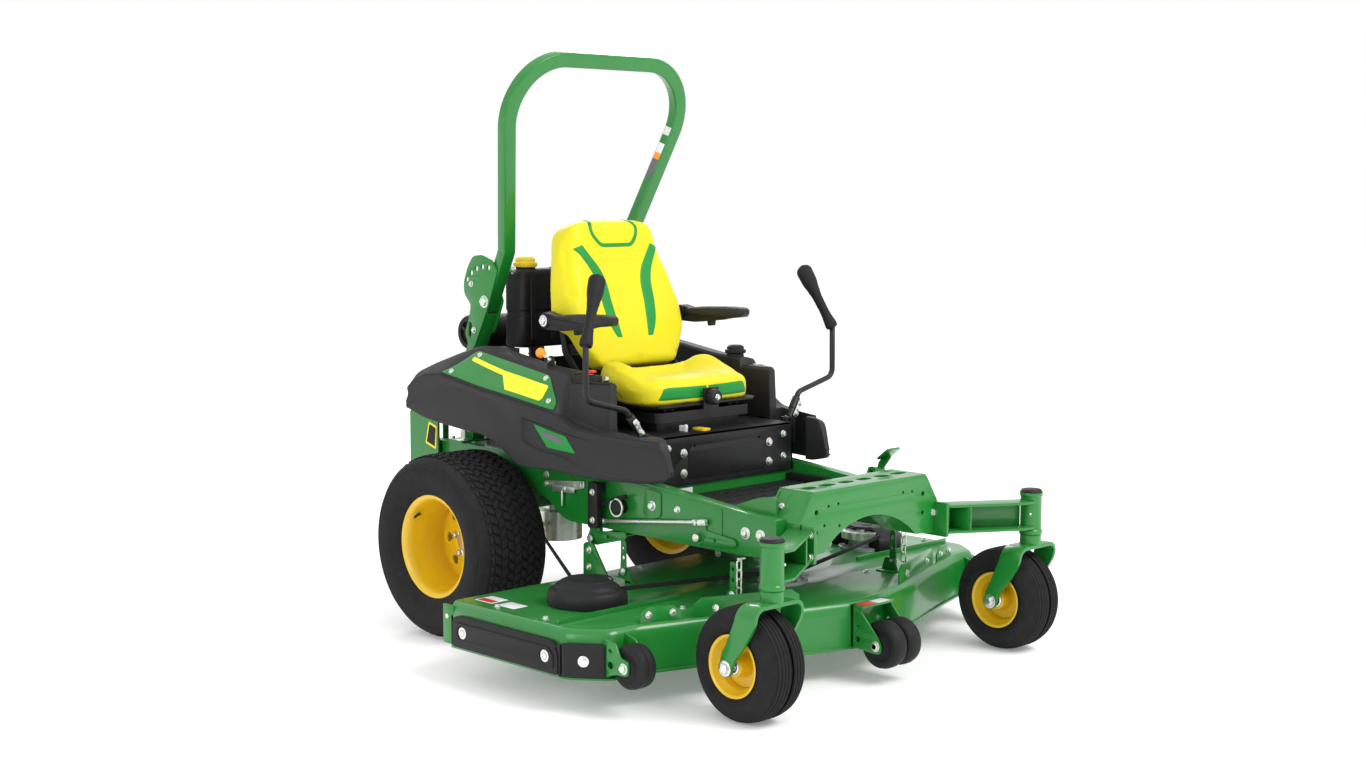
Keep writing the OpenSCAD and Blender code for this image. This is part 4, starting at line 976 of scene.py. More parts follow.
right_panel, left_panel = fender("right", -1), fender("left", 1)
right_panel.put("fender_panel_right", "chassis", GREEN, LABEL_YELLOW, ZINC, side=-1, bevel=1.1,
                slot="green_paint")
left_panel.put("fender_panel_left", "chassis", GREEN, LABEL_YELLOW, ZINC, bevel=1.1, slot="green_paint")


# ---------------------------------------------------------------- seat

def puffed(obj, pressure, cap):
    """Swells a closed pad with air by cloth simulation, moving no point further than cap millimetres."""
    home = obj.modifiers.new("even", "REMESH")
    home.mode, home.voxel_size = "VOXEL", 0.006
    freeze(obj)
    mesh = obj.data
    start = [v.co.copy() for v in mesh.vertices]
    cloth = obj.modifiers.new("air", "CLOTH")
    cloth.settings.use_pressure = True
    cloth.settings.uniform_pressure_force = pressure
    cloth.settings.effector_weights.gravity = 0
    cloth.settings.tension_stiffness = cloth.settings.compression_stiffness = 30
    cloth.settings.bending_stiffness = 4
    cloth.settings.quality = 5
    cloth.collision_settings.use_collision = False
    cloth.point_cache.frame_start, cloth.point_cache.frame_end = 1, 20
    scene = bpy.context.scene
    for f in range(1, 21):
        scene.frame_set(f)
    seen = obj.evaluated_get(bpy.context.evaluated_depsgraph_get())
    moved = [v.co.copy() for v in seen.data.vertices]
    obj.modifiers.clear()
    for v, a, b in zip(mesh.vertices, start, moved):
        step = b - a
        if step.length > cap / 1000:
            step = step.normalized() * (cap / 1000)
        v.co = a + step
    scene.frame_set(1)
    m = obj.modifiers.new("soft", "SMOOTH")
    m.factor, m.iterations = 0.5, 2
    m = obj.modifiers.new("fine", "SUBSURF")
    m.levels = m.render_levels = 1
    freeze(obj)
    shade(obj, 180)


def pad(name, body, mats, rings, node, slot, cap):
    """A cushion lofted from closed rings, swollen and rounded."""
    s = Shape()
    s.loft(rings)
    obj = s.put(name, body, *mats, bevel=0, subdivide=1, replaces=node, slot=slot,
                smooth=180)
    puffed(obj, 4.0, cap)
    return obj


def seat_ring(k, n):
    """A ring of the seat cushion at height step k of n."""
    t = k / n
    z = 783 + 82 * t
    grow = -4 - 9 * (2 * abs(t - 0.45)) ** 4
    half, front, rear = 256 + grow, 840 - grow, 1154 + grow
    shape = rounded([(-half * 0.90, front + 26, 60), (-half * 0.45, front + 2, 90),
                     (half * 0.45, front + 2, 90), (half * 0.90, front + 26, 60), (half, front + 110, 90),
                     (half * 0.96, rear, 70), (-half * 0.96, rear, 70), (-half, front + 110, 90)], 40)
    return shape, z


def seat_height(x, y):
    """Height of the sitting face: a dished middle between raised sides, dropping to the front."""
    side, rear = soft(abs(x), 95, 115), ramp(y, 930, 130)
    return 857 + 10 * ramp(y, 850, 110) + side * (2 + 46 * rear) - 15 * (1 - side) * rear


def seat_cushion():
    rings = []
    for k in range(11):
        shape, z = seat_ring(k, 10)
        rings.append([Vector((x, y, z if k < 5 else 824 + (seat_height(x, y) - 824) * (k - 5) / 5)) for x,
                      y in shape])
    shape, _ = seat_ring(10, 10)
    centre = Vector((0, 1000))
    for scale in (0.96, 0.88, 0.74, 0.58, 0.40, 0.2, 0.05):
        ring = []
        for x, y in shape:
            p = centre + (Vector((x, y)) - centre) * scale
            ring.append(Vector((p.x, p.y, seat_height(p.x, p.y))))
        rings.append(ring)
    return pad("seat_cushion_vinyl", "seat_base", [VINYL], rings, "seat_cushion", "seat_vinyl", 7)


LEAN = math.radians(17)
BACK_FOOT = Vector((0, 1164, 878))
BEFORE = -60                            # depth of a point that stands clear in front of the backrest


def on_back(x, up, deep):
    """A point of the backrest: up along its face, deep into it."""
    return BACK_FOOT + Vector((x, up * math.sin(LEAN) + deep * math.cos(LEAN),
                               up * math.cos(LEAN) - deep * math.sin(LEAN)))


back_half = eased([(0, 172), (50, 214), (140, 256), (220, 262), (320, 244), (400, 222), (500, 198),
                   (536, 160)], 46)


def lip_depth(up):
    """How deep the rim of the back cushion reaches: it wraps round the shell above its step."""
    return 76 + 46 * soft(up, 140, 30)


def back_outline(inset):
    """The backrest seen from the front as one closed loop, drawn in by inset."""
    right = [(back_half(u) - inset, u) for u in [8 + 26 * k for k in range(20)]]
    loop = [(0, 2 + inset), (90, 1 + inset), (150, 3 + inset)] + [(max(x, 20), max(u, 3 + inset)) for x,
            u in right]
    loop += [(156, 527 - inset), (100, 534 - inset), (50, 536 - inset)]
    loop = [(x, min(u, 536 - inset)) for x, u in loop]
    return loop + [(0, 536 - inset)] + [(-x, u) for x, u in reversed(loop[1:])]


def back_face(x, up):
    """How far the front face lies behind the front plane of its box."""
    bolster = soft(abs(x) - 70 - 0.02 * up, 0, 95)
    waist = math.exp(-((up - 210) / 170) ** 2)
    head = ramp(up, 392, 45)
    lumbar = math.exp(-((up - 130) / 110) ** 2)
    return 12 - 10 * bolster * waist * (1 - 0.7 * head) - 6 * lumbar * (1 - bolster) - 4 * head + 1.5


def seat_back():
    rings = []
    for part, inset in ((0.62, 34), (0.90, 32), (0.99, 24), (1.0, 15), (0.95, 8), (0.8, 5), (0.4, 5),
                        (0.2, 8)):
        rings.append([on_back(x, u, lip_depth(u) * part) for x, u in back_outline(inset)])
    rings.append([on_back(x, u, 4 + back_face(x, u) * 0.5) for x, u in back_outline(17)])
    centre = Vector((0, 268))
    for scale in (0.88, 0.74, 0.58, 0.42, 0.26, 0.12, 0.03):
        ring = []
        for x, u in back_outline(17):
            p = centre + (Vector((x, u)) - centre) * scale
            ring.append(on_back(p.x, p.y, back_face(p.x, p.y)))
        rings.append(ring)
    return pad("seat_back_vinyl", "seat_back", [VINYL], rings, "seat_back_cushion", "seat_vinyl", 7)


def laid_on(obj, rows, aim, lift):
    """Rows of points dropped along aim onto a cushion and made into a thin raised strip."""
    sink = 2.0
    depsgraph = bpy.context.evaluated_depsgraph_get()
    tree = BVHTree.FromObject(obj, depsgraph)
    aim = Vector(aim).normalized()
    tops, feet = [], []
    for row in rows:
        top, foot = [], []
        for p in row:
            start = metres(p)
            hit, normal, _, _ = tree.ray_cast(start, aim)
            if hit is None:
                hit, normal, _, _ = tree.find_nearest(start)
            if normal.dot(aim) > 0:
                normal = -normal
            top.append(local(hit + normal * (lift / 1000)))
            foot.append(local(hit - normal * (sink / 1000)))
        tops.append(top)
        feet.append(foot)
    s = Shape()
    s.loft([a + b[::-1] for a, b in zip(tops, feet)])
    return s


def strip(obj, name, body, mat, left, right, place, aim, lift, across=4, steps=36):
    """A strip between two lines given in face coordinates."""
    def along(points, t):
        total = [0.0]
        for a, b in zip(points, points[1:]):
            total.append(total[-1] + math.dist(a, b))
        at = t * total[-1]
        for i in range(len(points) - 1):
            if at <= total[i + 1] or i == len(points) - 2:
                f = (at - total[i]) / max(total[i + 1] - total[i], 1e-6)
                return Vector(points[i]).lerp(Vector(points[i + 1]), min(max(f, 0), 1))
    rows = []
    for k in range(steps + 1):
        a, b = along(left, k / steps), along(right, k / steps)
        rows.append([place(*a.lerp(b, j / across)) for j in range(across + 1)])
    s = laid_on(obj, rows, aim, lift)
    return s.put(name, body, mat, bevel=0.5, segments=1, slot="seat_vinyl", smooth=50)


def outlined(points, width):
    """Two lines a width apart along a drawn line."""
    return inset_path(points, width / 2), inset_path(points, -width / 2)


def seat_trim(cushion, back):
    into = (0, math.cos(LEAN), -math.sin(LEAN))

    def up_of(z):
        return (z - BACK_FOOT.z) / math.cos(LEAN)
    for side_name, side in SIDES:
        # wide stripe that narrows to a point
        outer = [(204, up_of(1296)), (178, up_of(1266)), (138, up_of(1208)), (122, up_of(1160)),
                 (122, up_of(1110)), (112, up_of(1040)), (94, up_of(1000)), (60, up_of(950))]
        inner = [(172, up_of(1312)), (140, up_of(1270)), (91, up_of(1208)), (76, up_of(1160)),
                 (76, up_of(1110)), (68, up_of(1040)), (62, up_of(1000)), (57, up_of(948))]
        outer = [(side * x, u) for x, u in rounded([(x, u, 30) for x, u in outer], 30, 3)[4:-4]]
        inner = [(side * x, u) for x, u in rounded([(x, u, 30) for x, u in inner], 30, 3)[4:-4]]
        strip(back, "seat_back_stripe_" + side_name, "seat_back", PIPING, outer, inner,
              lambda x, u: on_back(x, u, BEFORE), into, 1.0, steps=48)
    # piping round the headrest
    line = [(-84, up_of(1384)), (-106, up_of(1350)), (-100, up_of(1322)), (-70, up_of(1288)),
            (70, up_of(1288)), (100, up_of(1322)), (106, up_of(1350)), (84, up_of(1384))]
    line = [line[0]] + rounded(line, 16)[5:-5] + [line[-1]]
    left, right = outlined(line, 13)
    strip(back, "seat_back_piping", "seat_back", PIPING, left, right, lambda x, u: on_back(x, u, BEFORE),
          into, 1.4, steps=90)
    # sewn line under the headrest
    line = [(-150, up_of(1330)), (-118, up_of(1262)), (-90, up_of(1240)), (90, up_of(1240)),
            (118, up_of(1262)), (150, up_of(1330))]
    line = [line[0]] + rounded(line, 20)[5:-5] + [line[-1]]
    left, right = outlined(line, 2.2)
    strip(back, "seat_back_seam", "seat_back", VINYL, left, right, lambda x, u: on_back(x, u, BEFORE), into,
          0.6, across=2, steps=80)
    # green band across the front of the seat cushion, split round the knob
    for side_name, side in SIDES:
        top = [(side * 5, 840), (side * 168, 842), (side * 184, 838)]
        foot = [(side * 5, 802), (side * 192, 802), (side * 202, 803)]
        strip(cushion, "seat_front_band_" + side_name, "seat_base", PIPING, top, foot,
              lambda x, z: Vector((x, 780, z)), (0, 1, 0), 1.0, steps=24)


seat = seat_cushion()
back = seat_back()
seat_trim(seat, back)


def seat_shell():
    s = Shape()
    loop = back_outline(42)
    rings = [[on_back(x * k, 268 + (u - 268) * k, d) for x, u in loop]
             for d, k in ((83, 0.97), (88, 1.0), (96, 0.99), (100.5, 0.95))]
    s.loft(rings)
    # pressed ribs on the back of the shell
    for x in (-90, 0, 90):
        s.loft([[on_back(x + a, u, 100 + b) for a, b in ((-9, -1), (-5, 5), (5, 5), (9, -1))]
                for u in (80, 120, 400, 440)])
    for out in (1, -1):
        s.prism("x", *span(out, 222, 231), rounded([(1200, 836), (1230, 836), (1310, 930), (1324, 1010),
                (1302, 1010), (1284, 940), (1236, 880), (1200, 866)], 8))
        s.prism("x", *span(out, 268, 278),
                rounded([(1262, 1028), (1300, 1028), (1332, 1040), (1332, 1070), (1262, 1062)], 6))
        s.box(*span(out, 200, 278), 1312, 1332, 1040, 1070)
        s.mat = 1
        s.rod("x", *span(out, 277, 344), ARM_Y, ARM_Z, 10, 24, 1)
        s.bolt((out * 334.5, ARM_Y, ARM_Z), (out, 0, 0), 14, 9)
        s.lathe("x", (0, ARM_Y, ARM_Z), [(10, out * 334.4), (19, out * 334.4), (19, out * 337),
                (10, out * 338)], 30)
        s.mat = 0
    s.put("seat_back_shell_pressed", "seat_back", PLASTIC, STEEL, bevel=2.0, replaces="seat_back_shell",
          slot="black_plastic")


def weight_knob():
    s = Shape()
    grip = []
    for k in range(96):
        a = math.tau * k / 96
        u, v = polar(26 if (k // 2) % 4 else 24.6, a)
        grip.append((u, KNOB_Z + v))
    s.prism("y", 816, 834, grip)
    s.lathe("y", (0, 0, KNOB_Z), [(5.1, 808), (20, 806), (25, 811), (25.5, 817), (5.1, 817)])
    s.lathe("y", (0, 0, KNOB_Z), [(5.1, 833), (25, 833), (24, 835.5), (5.1, 835.5)])
    s.mat = 1
    s.bolt((0, 807.4, KNOB_Z), (0, -1, 0), 8, 5)
    return s.put("weight_knob_turned", "weight_knob", GREY, STEEL, bevel=0.8, replaces="weight_knob",
                 slot="grey_plastic")


def armrest(side_name, side):
    s = Shape()
    # moulded pad, wider at its tip, with rolled edges
    wide = curve([(967, 18), (972, 26), (985, 30), (1040, 31), (1160, 26), (1240, 20), (1262, 14)])
    crown = eased([(967, 1068), (985, 1074), (1040, 1076), (1150, 1072), (1240, 1064), (1262, 1056)], 20)
    belly = eased([(967, 1052), (985, 1038), (1040, 1035), (1100, 1036), (1200, 1038), (1262, 1042)], 20)
    rings = []
    for y in (967, 970, 976, 984, 996, 1012, 1040, 1070, 1100, 1140, 1180, 1215, 1240, 1255, 1262):
        w, t, b = wide(y), crown(y), belly(y)
        if y < 984:
            w *= 0.72 + 0.28 * (y - 967) / 17
        m = (t + b) / 2
        rings.append([Vector((304 + u * w, y, m + v * (t - b) / 2)) for u,
                      v in ((-0.8, -0.9), (0.8, -0.9), (0.97, -0.45), (1, 0.1), (0.93, 0.62), (0.7, 0.94),
                      (0, 1.0), (-0.7, 0.94), (-0.93, 0.62), (-1, 0.1), (-0.97, -0.45))])
    s.loft(rings)
    s.mat = 1
    arm = rounded([(1305, 1024), (1308, 1058), (1290, 1073), (1230, 1062), (1010, 1058), (1000, 1044),
                   (1090, 1026), (1200, 1014), (1283, 1016)], 16)
    s.prism("x", 290, 330, arm, disc(ARM_Y, ARM_Z, 10.3))
    # long groove and the thumb stop below
    s.prism("x", 329.5, 333, rounded([(1268, 1034), (1130, 1030), (1050, 1044), (1130, 1046), (1262, 1052)],
                                     5))
    s.prism("x", 296, 322, rounded([(1130, 1030), (1150, 1030), (1146, 1004), (1134, 1004)], 5))
    s.lathe("x", (0, ARM_Y, ARM_Z), [(10.1, 286), (24, 286), (26, 290), (26, 331), (24, 334), (10.1, 334)],
            40)
    s.put("armrest_moulding_" + side_name, "armrest_" + side_name, GREY, PLASTIC, side=side, bevel=2.2,
          replaces="armrest_" + side_name, slot="grey_plastic")


def lever(side_name, side):
    s = Shape()
    base = Vector((333, 800, 700))
    # forged foot on its pin
    s.lathe("y", base, [(8.1, -13), (15, -13), (16, -11), (16, 11), (15, 13), (8.1, 13)], 32)
    s.tube(bent([(341, 801, 710), (364, 806, 742), (387, 811, 773)], 60), 12, 20)
    path = bent([(385, 810, 770), (401, 813, 792), (570, 810, 836), (569, 811, 1014)], 34, 8)
    s.tube(path, 9.5, 20)
    s.tube([(360, 805, 737), (387, 811, 773)], 14, 20)
    # slotted adjuster plate and its bolts
    s.mat = 1
    s.prism("y", 787, 791, rounded([(346, 716), (362, 706), (394, 758), (378, 768)], 5))
    for x, z in ((358, 722), (380, 754)):
        s.bolt((x, 787, z), (0, -1, 0), 7, 6)
    s.mat = 2
    # rubber grip: collar, narrow waist and a flared, flattened head
    a, b = Vector((569, 811, 1003)), Vector((468, 865, 1216))
    axis = (b - a).normalized()
    u = axis.cross(Vector((0, 1, 0))).normalized()
    v = axis.cross(u).normalized()
    size = eased([(0, 21), (14, 22), (30, 19), (60, 16.5), (120, 17.5), (150, 22), (176, 28), (220, 29.5),
                  (242, 25)], 14)
    rings = []
    for k in range(38):
        t = 242 * k / 37
        r = size(t)
        if t < 4:
            r *= 0.92
        if t > 222:
            r *= math.sqrt(max(0.04, 1 - ((t - 222) / 20.5) ** 2))
        rib = 0.8 if (int(t / 6) % 2 and 40 < t < 140) else 0
        flat = 0.86 if t > 150 else 0.94
        rings.append([a + axis * t + u * ((r - rib) * math.cos(w)) + v * ((r - rib) * flat * math.sin(w))
                      for w in [math.tau * i / 28 for i in range(28)]])
    s.loft(rings)
    s.put("steering_lever_" + side_name, "lever_" + side_name, BLACK, ZINC, RUBBER, side=side, bevel=0.8,
          segments=1, angle=50, replaces="lever_" + side_name, slot="black_paint", smooth=45)


def controls():
    s = Shape()
    s.tube([(-398, 1190, 929), (-398, 1218, 943)], 4)
    s.lathe("x", (-398, 1186, 926), [(4.1, -8), (9, -8), (9, 8), (4.1, 8)], 28)
    s.mat = 1
    s.ball((-398, 1224, 946), 17, 32)
    s.lathe("x", (-398, 1212, 939), [(4, -7), (7, -7), (7, 7), (4, 7)], 20)
    s.put("throttle_rod_and_ball", "throttle", ZINC, ORANGE, bevel=0.4, segments=1,
          replaces="throttle_lever", slot="orange_plastic", smooth=60)
    s = Shape()
    s.rod("z", 864, 894, -392, 985, 6, 20, 0.5)
    s.mat = 1
    s.lathe("z", (-392, 985, 0), [(0, 893), (9, 893), (11, 897), (17, 899), (17.5, 901.5), (16, 904.5),
                                  (10, 906), (0, 906)], 36)
    s.put("pto_pull_knob", "pto_knob", STEEL, RED, bevel=0.4, replaces="pto_knob", slot="red_plastic")
    for name, body, centre, floor, top, r, colour, slot in (
            ("fuel_cap", "fuel_cap", (392, 1104), 905, 934, 37, PLASTIC, "black_plastic"),
            ("tank_cap", "tank_cap", (-150, 1597), 1206.5, 1243, 42, CAP, "yellow_plastic")):
        s = Shape()
        x, y = centre
        high = top - floor
        s.lathe("z", (x, y, 0), [(0, floor), (r - 4, floor), (r - 2, floor + 2),
                                 (r - 2, floor + high * 0.42), (r - 7, floor + high * 0.50),
                                 (r - 7, floor + high * 0.80), (r - 13, floor + high * 0.92), (r - 16, top),
                                 (0, top)], 64)
        for k in range(24):
            u, v = polar(r - 2.5, math.tau * k / 24)
            s.rod("z", floor + 2, floor + high * 0.42, x + u, y + v, 2.5, 8)
        s.put(name + "_ribbed", body, colour, bevel=0.8, replaces=name, slot=slot)


def rear_tank():
    s = Shape()
    loop = [(-205, 1545), (68, 1545), (68, 1650), (-205, 1650)]
    base = rounded([(x, y, 24) for x, y in loop], 24, 5)
    mid = Vector((-68.5, 1597.5))

    def ring(z, off):
        made = []
        for x, y in base:
            d = Vector((x, y)) - mid
            made.append(Vector((x - math.copysign(off, d.x), y - math.copysign(off, d.y), z)))
        return made
    s.loft([ring(930, 10), ring(934, 3), ring(942, 0), ring(1040, 0), ring(1044, 2.5), ring(1056, 2.5),
            ring(1060, 0), ring(1184, 0), ring(1194, 4), ring(1200, 12)])
    s.lathe("z", (-150, 1597, 0), [(0, 1196), (36, 1196), (36, 1201), (34, 1206), (0, 1206)])
    s.rod("z", 1196, 1204, -20, 1597, 16, 32, 1)
    for x in (-160, -68, 24):
        s.loft([[Vector((x + a, 1545 - b, z)) for a, b in ((-10, -1), (-7, 3), (7, 3), (10, -1))]
                for z in (955, 960, 1165, 1170)])
    s.put("rear_tank_moulding", "chassis", PLASTIC, bevel=2.5, replaces="rear_tank", slot="black_plastic")


def air_cleaner():
    """Canister with its end disc, clamps and intake hose."""
    s = Shape()
    c = Vector((0, 1815, 970))
    s.lathe("x", c, [(0, -226), (54, -226), (58, -222), (60, -214), (61, -200), (61.5, -60), (59, -54),
                     (59, 40), (61.5, 46), (61.5, 64), (56, 70), (0, 70)], 72)
    s.lathe("x", c, [(40, -235), (56, -235), (59, -230), (59, -222), (40, -222)], 64)
    s.lathe("x", c, [(0, -236), (16, -236), (18, -232), (18, -222), (0, -222)], 40)
    for k in range(3):
        a = math.tau * k / 3 + 0.5
        u, v = Vector((0, math.cos(a), math.sin(a))), Vector((0, -math.sin(a), math.cos(a)))
        s.loft([[c + Vector((x, 0, 0)) + u * r + v * w for r, w in ((14, -6), (46, -6), (46, 6), (14, 6))]
                for x in (-234, -222)])
    s.rod("x", 68, 90, 1815, 970, 40, 40, 2)
    s.box(-120, -40, 1790, 1840, 762, 914)
    s.tube(bent([(45, 1770, 762), (45, 1770, 900), (45, 1800, 962)], 40), 29, 24)
    for k in range(7):
        s.lathe("z", (45, 1770, 0), [(27, 782 + 16 * k), (32, 784 + 16 * k), (32, 788 + 16 * k),
                                     (27, 790 + 16 * k)], 28)
    s.mat = 1
    for x in (-197, 52):
        s.lathe("x", c, [(61, x - 6), (63.4, x - 6), (63.4, x + 6), (61, x + 6)], 64)
        s.box(x - 5, x + 5, 1745, 1754, 962, 984)
    s.mat = 2
    s.lathe("x", c, [(44, -226.4), (61.8, -226.4), (61.8, -221), (44, -221)], 64)
    s.put("air_cleaner_canister", "chassis", PLASTIC, ZINC, LABEL_GREY, bevel=1.4, replaces="air_cleaner",
          slot="black_plastic")


seat_shell()
weight_knob()
for side_name, side in SIDES:
    armrest(side_name, side)
    lever(side_name, side)
controls()
rear_tank()
air_cleaner()


# ---------------------------------------------------------------- mowing deck

DECK_FRONT = [(0, 158), (60, 160), (225, 207), (573, 335), (739, 388), (850, 395), (DECK_SIDE, 500)]


def deck_outline(out):
    """The deck's edge seen from above, the right half after the left, moved outward by out."""
    half = DECK_FRONT + [(DECK_SIDE, DECK_REAR)]
    moved = inset_path(half, -out)
    moved[0] = (0, moved[0][1])
    moved[-1] = (moved[-1][0], DECK_REAR)
    half = [moved[0]] + rounded(moved, 30, 5)[6:-6] + [moved[-1]]
    return half + [(-x, y) for x, y in reversed(half)][:-1]


def deck_shell():
    s = Shape()
    # pressed shell: flat top, rolled shoulder, upright skirt and a turned-out lip
    steps = [(-26, 234), (-26, 240), (-18, 239.4), (-10, 234), (-4, 222), (-1, 208), (0, 196), (0, 108),
             (1, 105), (9, 104), (9, 98), (1, 97), (-6, 97), (-6, 190), (-8, 212), (-14, 226), (-26, 234)]
    outlines = [deck_outline(off) for off, _ in steps]
    rings = []
    for (off, z), line in zip(steps, outlines):
        line = [(max(-931, min(931, x)) if off > 0.5 and y > 520 else x, y) for x, y in line]
        rings.append([Vector((x, y, z)) for x, y in line])
    # walls along the front and both sides, open along the rear
    columns = [[ring[i] for ring in rings[:-1]] for i in range(len(rings[0]))]
    left_end = next(i for i, p in enumerate(outlines[0]) if p[1] > 1019)
    order = columns[left_end::-1] + columns[:left_end:-1]
    s.loft(order)
    plan = deck_outline(-25.5)
    s.prism("z", 234, DECK_TOP, plan, *[disc(x, y, 45, 40) for x, y in BLADES])
    # rear edge turned down, and the end plates
    s.prism("y", 1013, 1020, rounded([(-926, 196), (-926, 210), (-900, 238), (900, 238), (926, 210),
                                      (926, 196)], 6))
    for out in (1, -1):
        s.box(*span(out, 922, 930), 1010, 1060, 107, 226)
        s.mat = 1
        s.bolt((out * 930, 1042, 190), (out, 0, 0), 8, 0.4, washer=False)
        s.mat = 0
        # lift lugs and stiffening ribs
        for y1, y2 in ((360, 400), (835, 875)):
            s.prism("x", *span(out, 366, 372), rounded([(y1 - 14, 239), (y1 + 2, 285), (y2 - 2, 285),
                    (y2 + 14, 239)], 8))
            s.box(*span(out, 340, 372), y1 - 14, y2 + 14, 239, 245)
        s.box(*span(out, 420, 900), 560, 566, 239, 254)
        # upright wall plates along the front edge
        for (x1, y1), (x2, y2) in (((236, 232), (560, 352)), ((600, 366), (724, 404))):
            d = (Vector((x2, y2)) - Vector((x1, y1))).normalized()
            n = Vector((-d.y, d.x))
            a, b = Vector((x1, y1)), Vector((x2, y2))
            high = 296 if x1 < 400 else 284
            rings = []
            for z, trim in ((238, 0), (high - 18, 0), (high, 26)):
                p, q = a + d * trim, b - d * trim
                rings.append([Vector((out * c.x, c.y, z)) for c in (p, q, q + n * 5, p + n * 5)])
            s.loft(rings)
            for f in (0.2, 0.8):
                c = a.lerp(b, f)
                s.bolt((out * c.x, c.y, 262), (-out * n.x, -n.y, 0), 8, 6, mat=1)
        # gauge wheel bracket: two ears with lightening holes and a row of height holes
        for x in (788, 866):
            ear = rounded([(298, 132), (316, 128), (345, 128), (402, 112), (402, 226), (350, 214),
                           (330, 178), (298, 172)], 10)
            s.prism("x", *span(out, x, x + 6), ear, disc(GAUGE_Y, GAUGE_Z, 8.2, 20), disc(372, 150, 11, 20),
                    disc(372, 190, 7, 16))
        s.box(*span(out, 788, 872), 392, 400, 112, 200)
        s.mat = 1
        s.rod("x", *span(out, 780, 880), GAUGE_Y, GAUGE_Z, 7.9, 20, 1)
        s.bolt((out * 872, GAUGE_Y, GAUGE_Z), (out, 0, 0), 12, 8)
        s.bolt((out * 788, GAUGE_Y, GAUGE_Z), (-out, 0, 0), 12, 8)
        s.mat = 0
        # lift links, with their clevis pins
        for y in (373, 853):
            s.prism("x", *span(out, 373, 377), rounded([(y - 13, 262), (y + 13, 262), (y + 11, 375),
                    (y - 11, 375)], 9), disc(y, 352, 6, 16), disc(y, 320, 6, 16))
            s.mat = 1
            s.rod("x", *span(out, 362, 380), y, 275, 6, 20, 0.5)
            s.bolt((out * 380, y, 275), (out, 0, 0), 9, 4)
            s.mat = 0
    # centre roller ears and their hood
    for x in (-76, 70):
        ear = rounded([(48, 120), (52, 98), (72, 96), (168, 104), (168, 228), (140, 228), (64, 148)], 12)
        s.prism("x", x, x + 6, ear, disc(ROLLER_Y, ROLLER_Z, 9.2, 20), disc(140, 130, 10, 18),
                disc(140, 170, 7, 16))
    s.box(-76, 76, 120, 166, 226, 232)
    s.box(-76, 76, 158, 170, 104, 232)
    s.mat = 1
    s.rod("x", -84, 84, ROLLER_Y, ROLLER_Z, 8.9, 20, 1)
    s.bolt((76, ROLLER_Y, ROLLER_Z), (1, 0, 0), 12, 6)
    s.bolt((-76, ROLLER_Y, ROLLER_Z), (-1, 0, 0), 12, 6)
    for out in (1, -1):
        for x, y in ((880, 640), (880, 860), (470, 980), (180, 980), (300, 420), (500, 460)):
            s.bolt((out * x, y, 240), (0, 0, 1), 8, 6)
    # blank labels
    s.mat = 2
    s.prism("z", 239.8, 240.7, rect(-868, -800, 905, 985, 3))
    s.prism("z", 239.8, 240.7, rect(-868, -812, 800, 880, 3))
    s.mat = 3
    s.prism("z", 239.8, 240.8, rect(-864, -834, 910, 980, 3))
    s.prism("z", 231.8, 232.6, rect(-62, -2, 124, 162, 3))
    s.mat = 2
    s.prism("z", 231.8, 232.6, rect(0, 60, 124, 162, 3))
    s.put("deck_shell_pressed", "deck", GREEN, ZINC, LABEL, LABEL_RED, bevel=1.6, replaces="deck_shell",
          slot="green_paint")


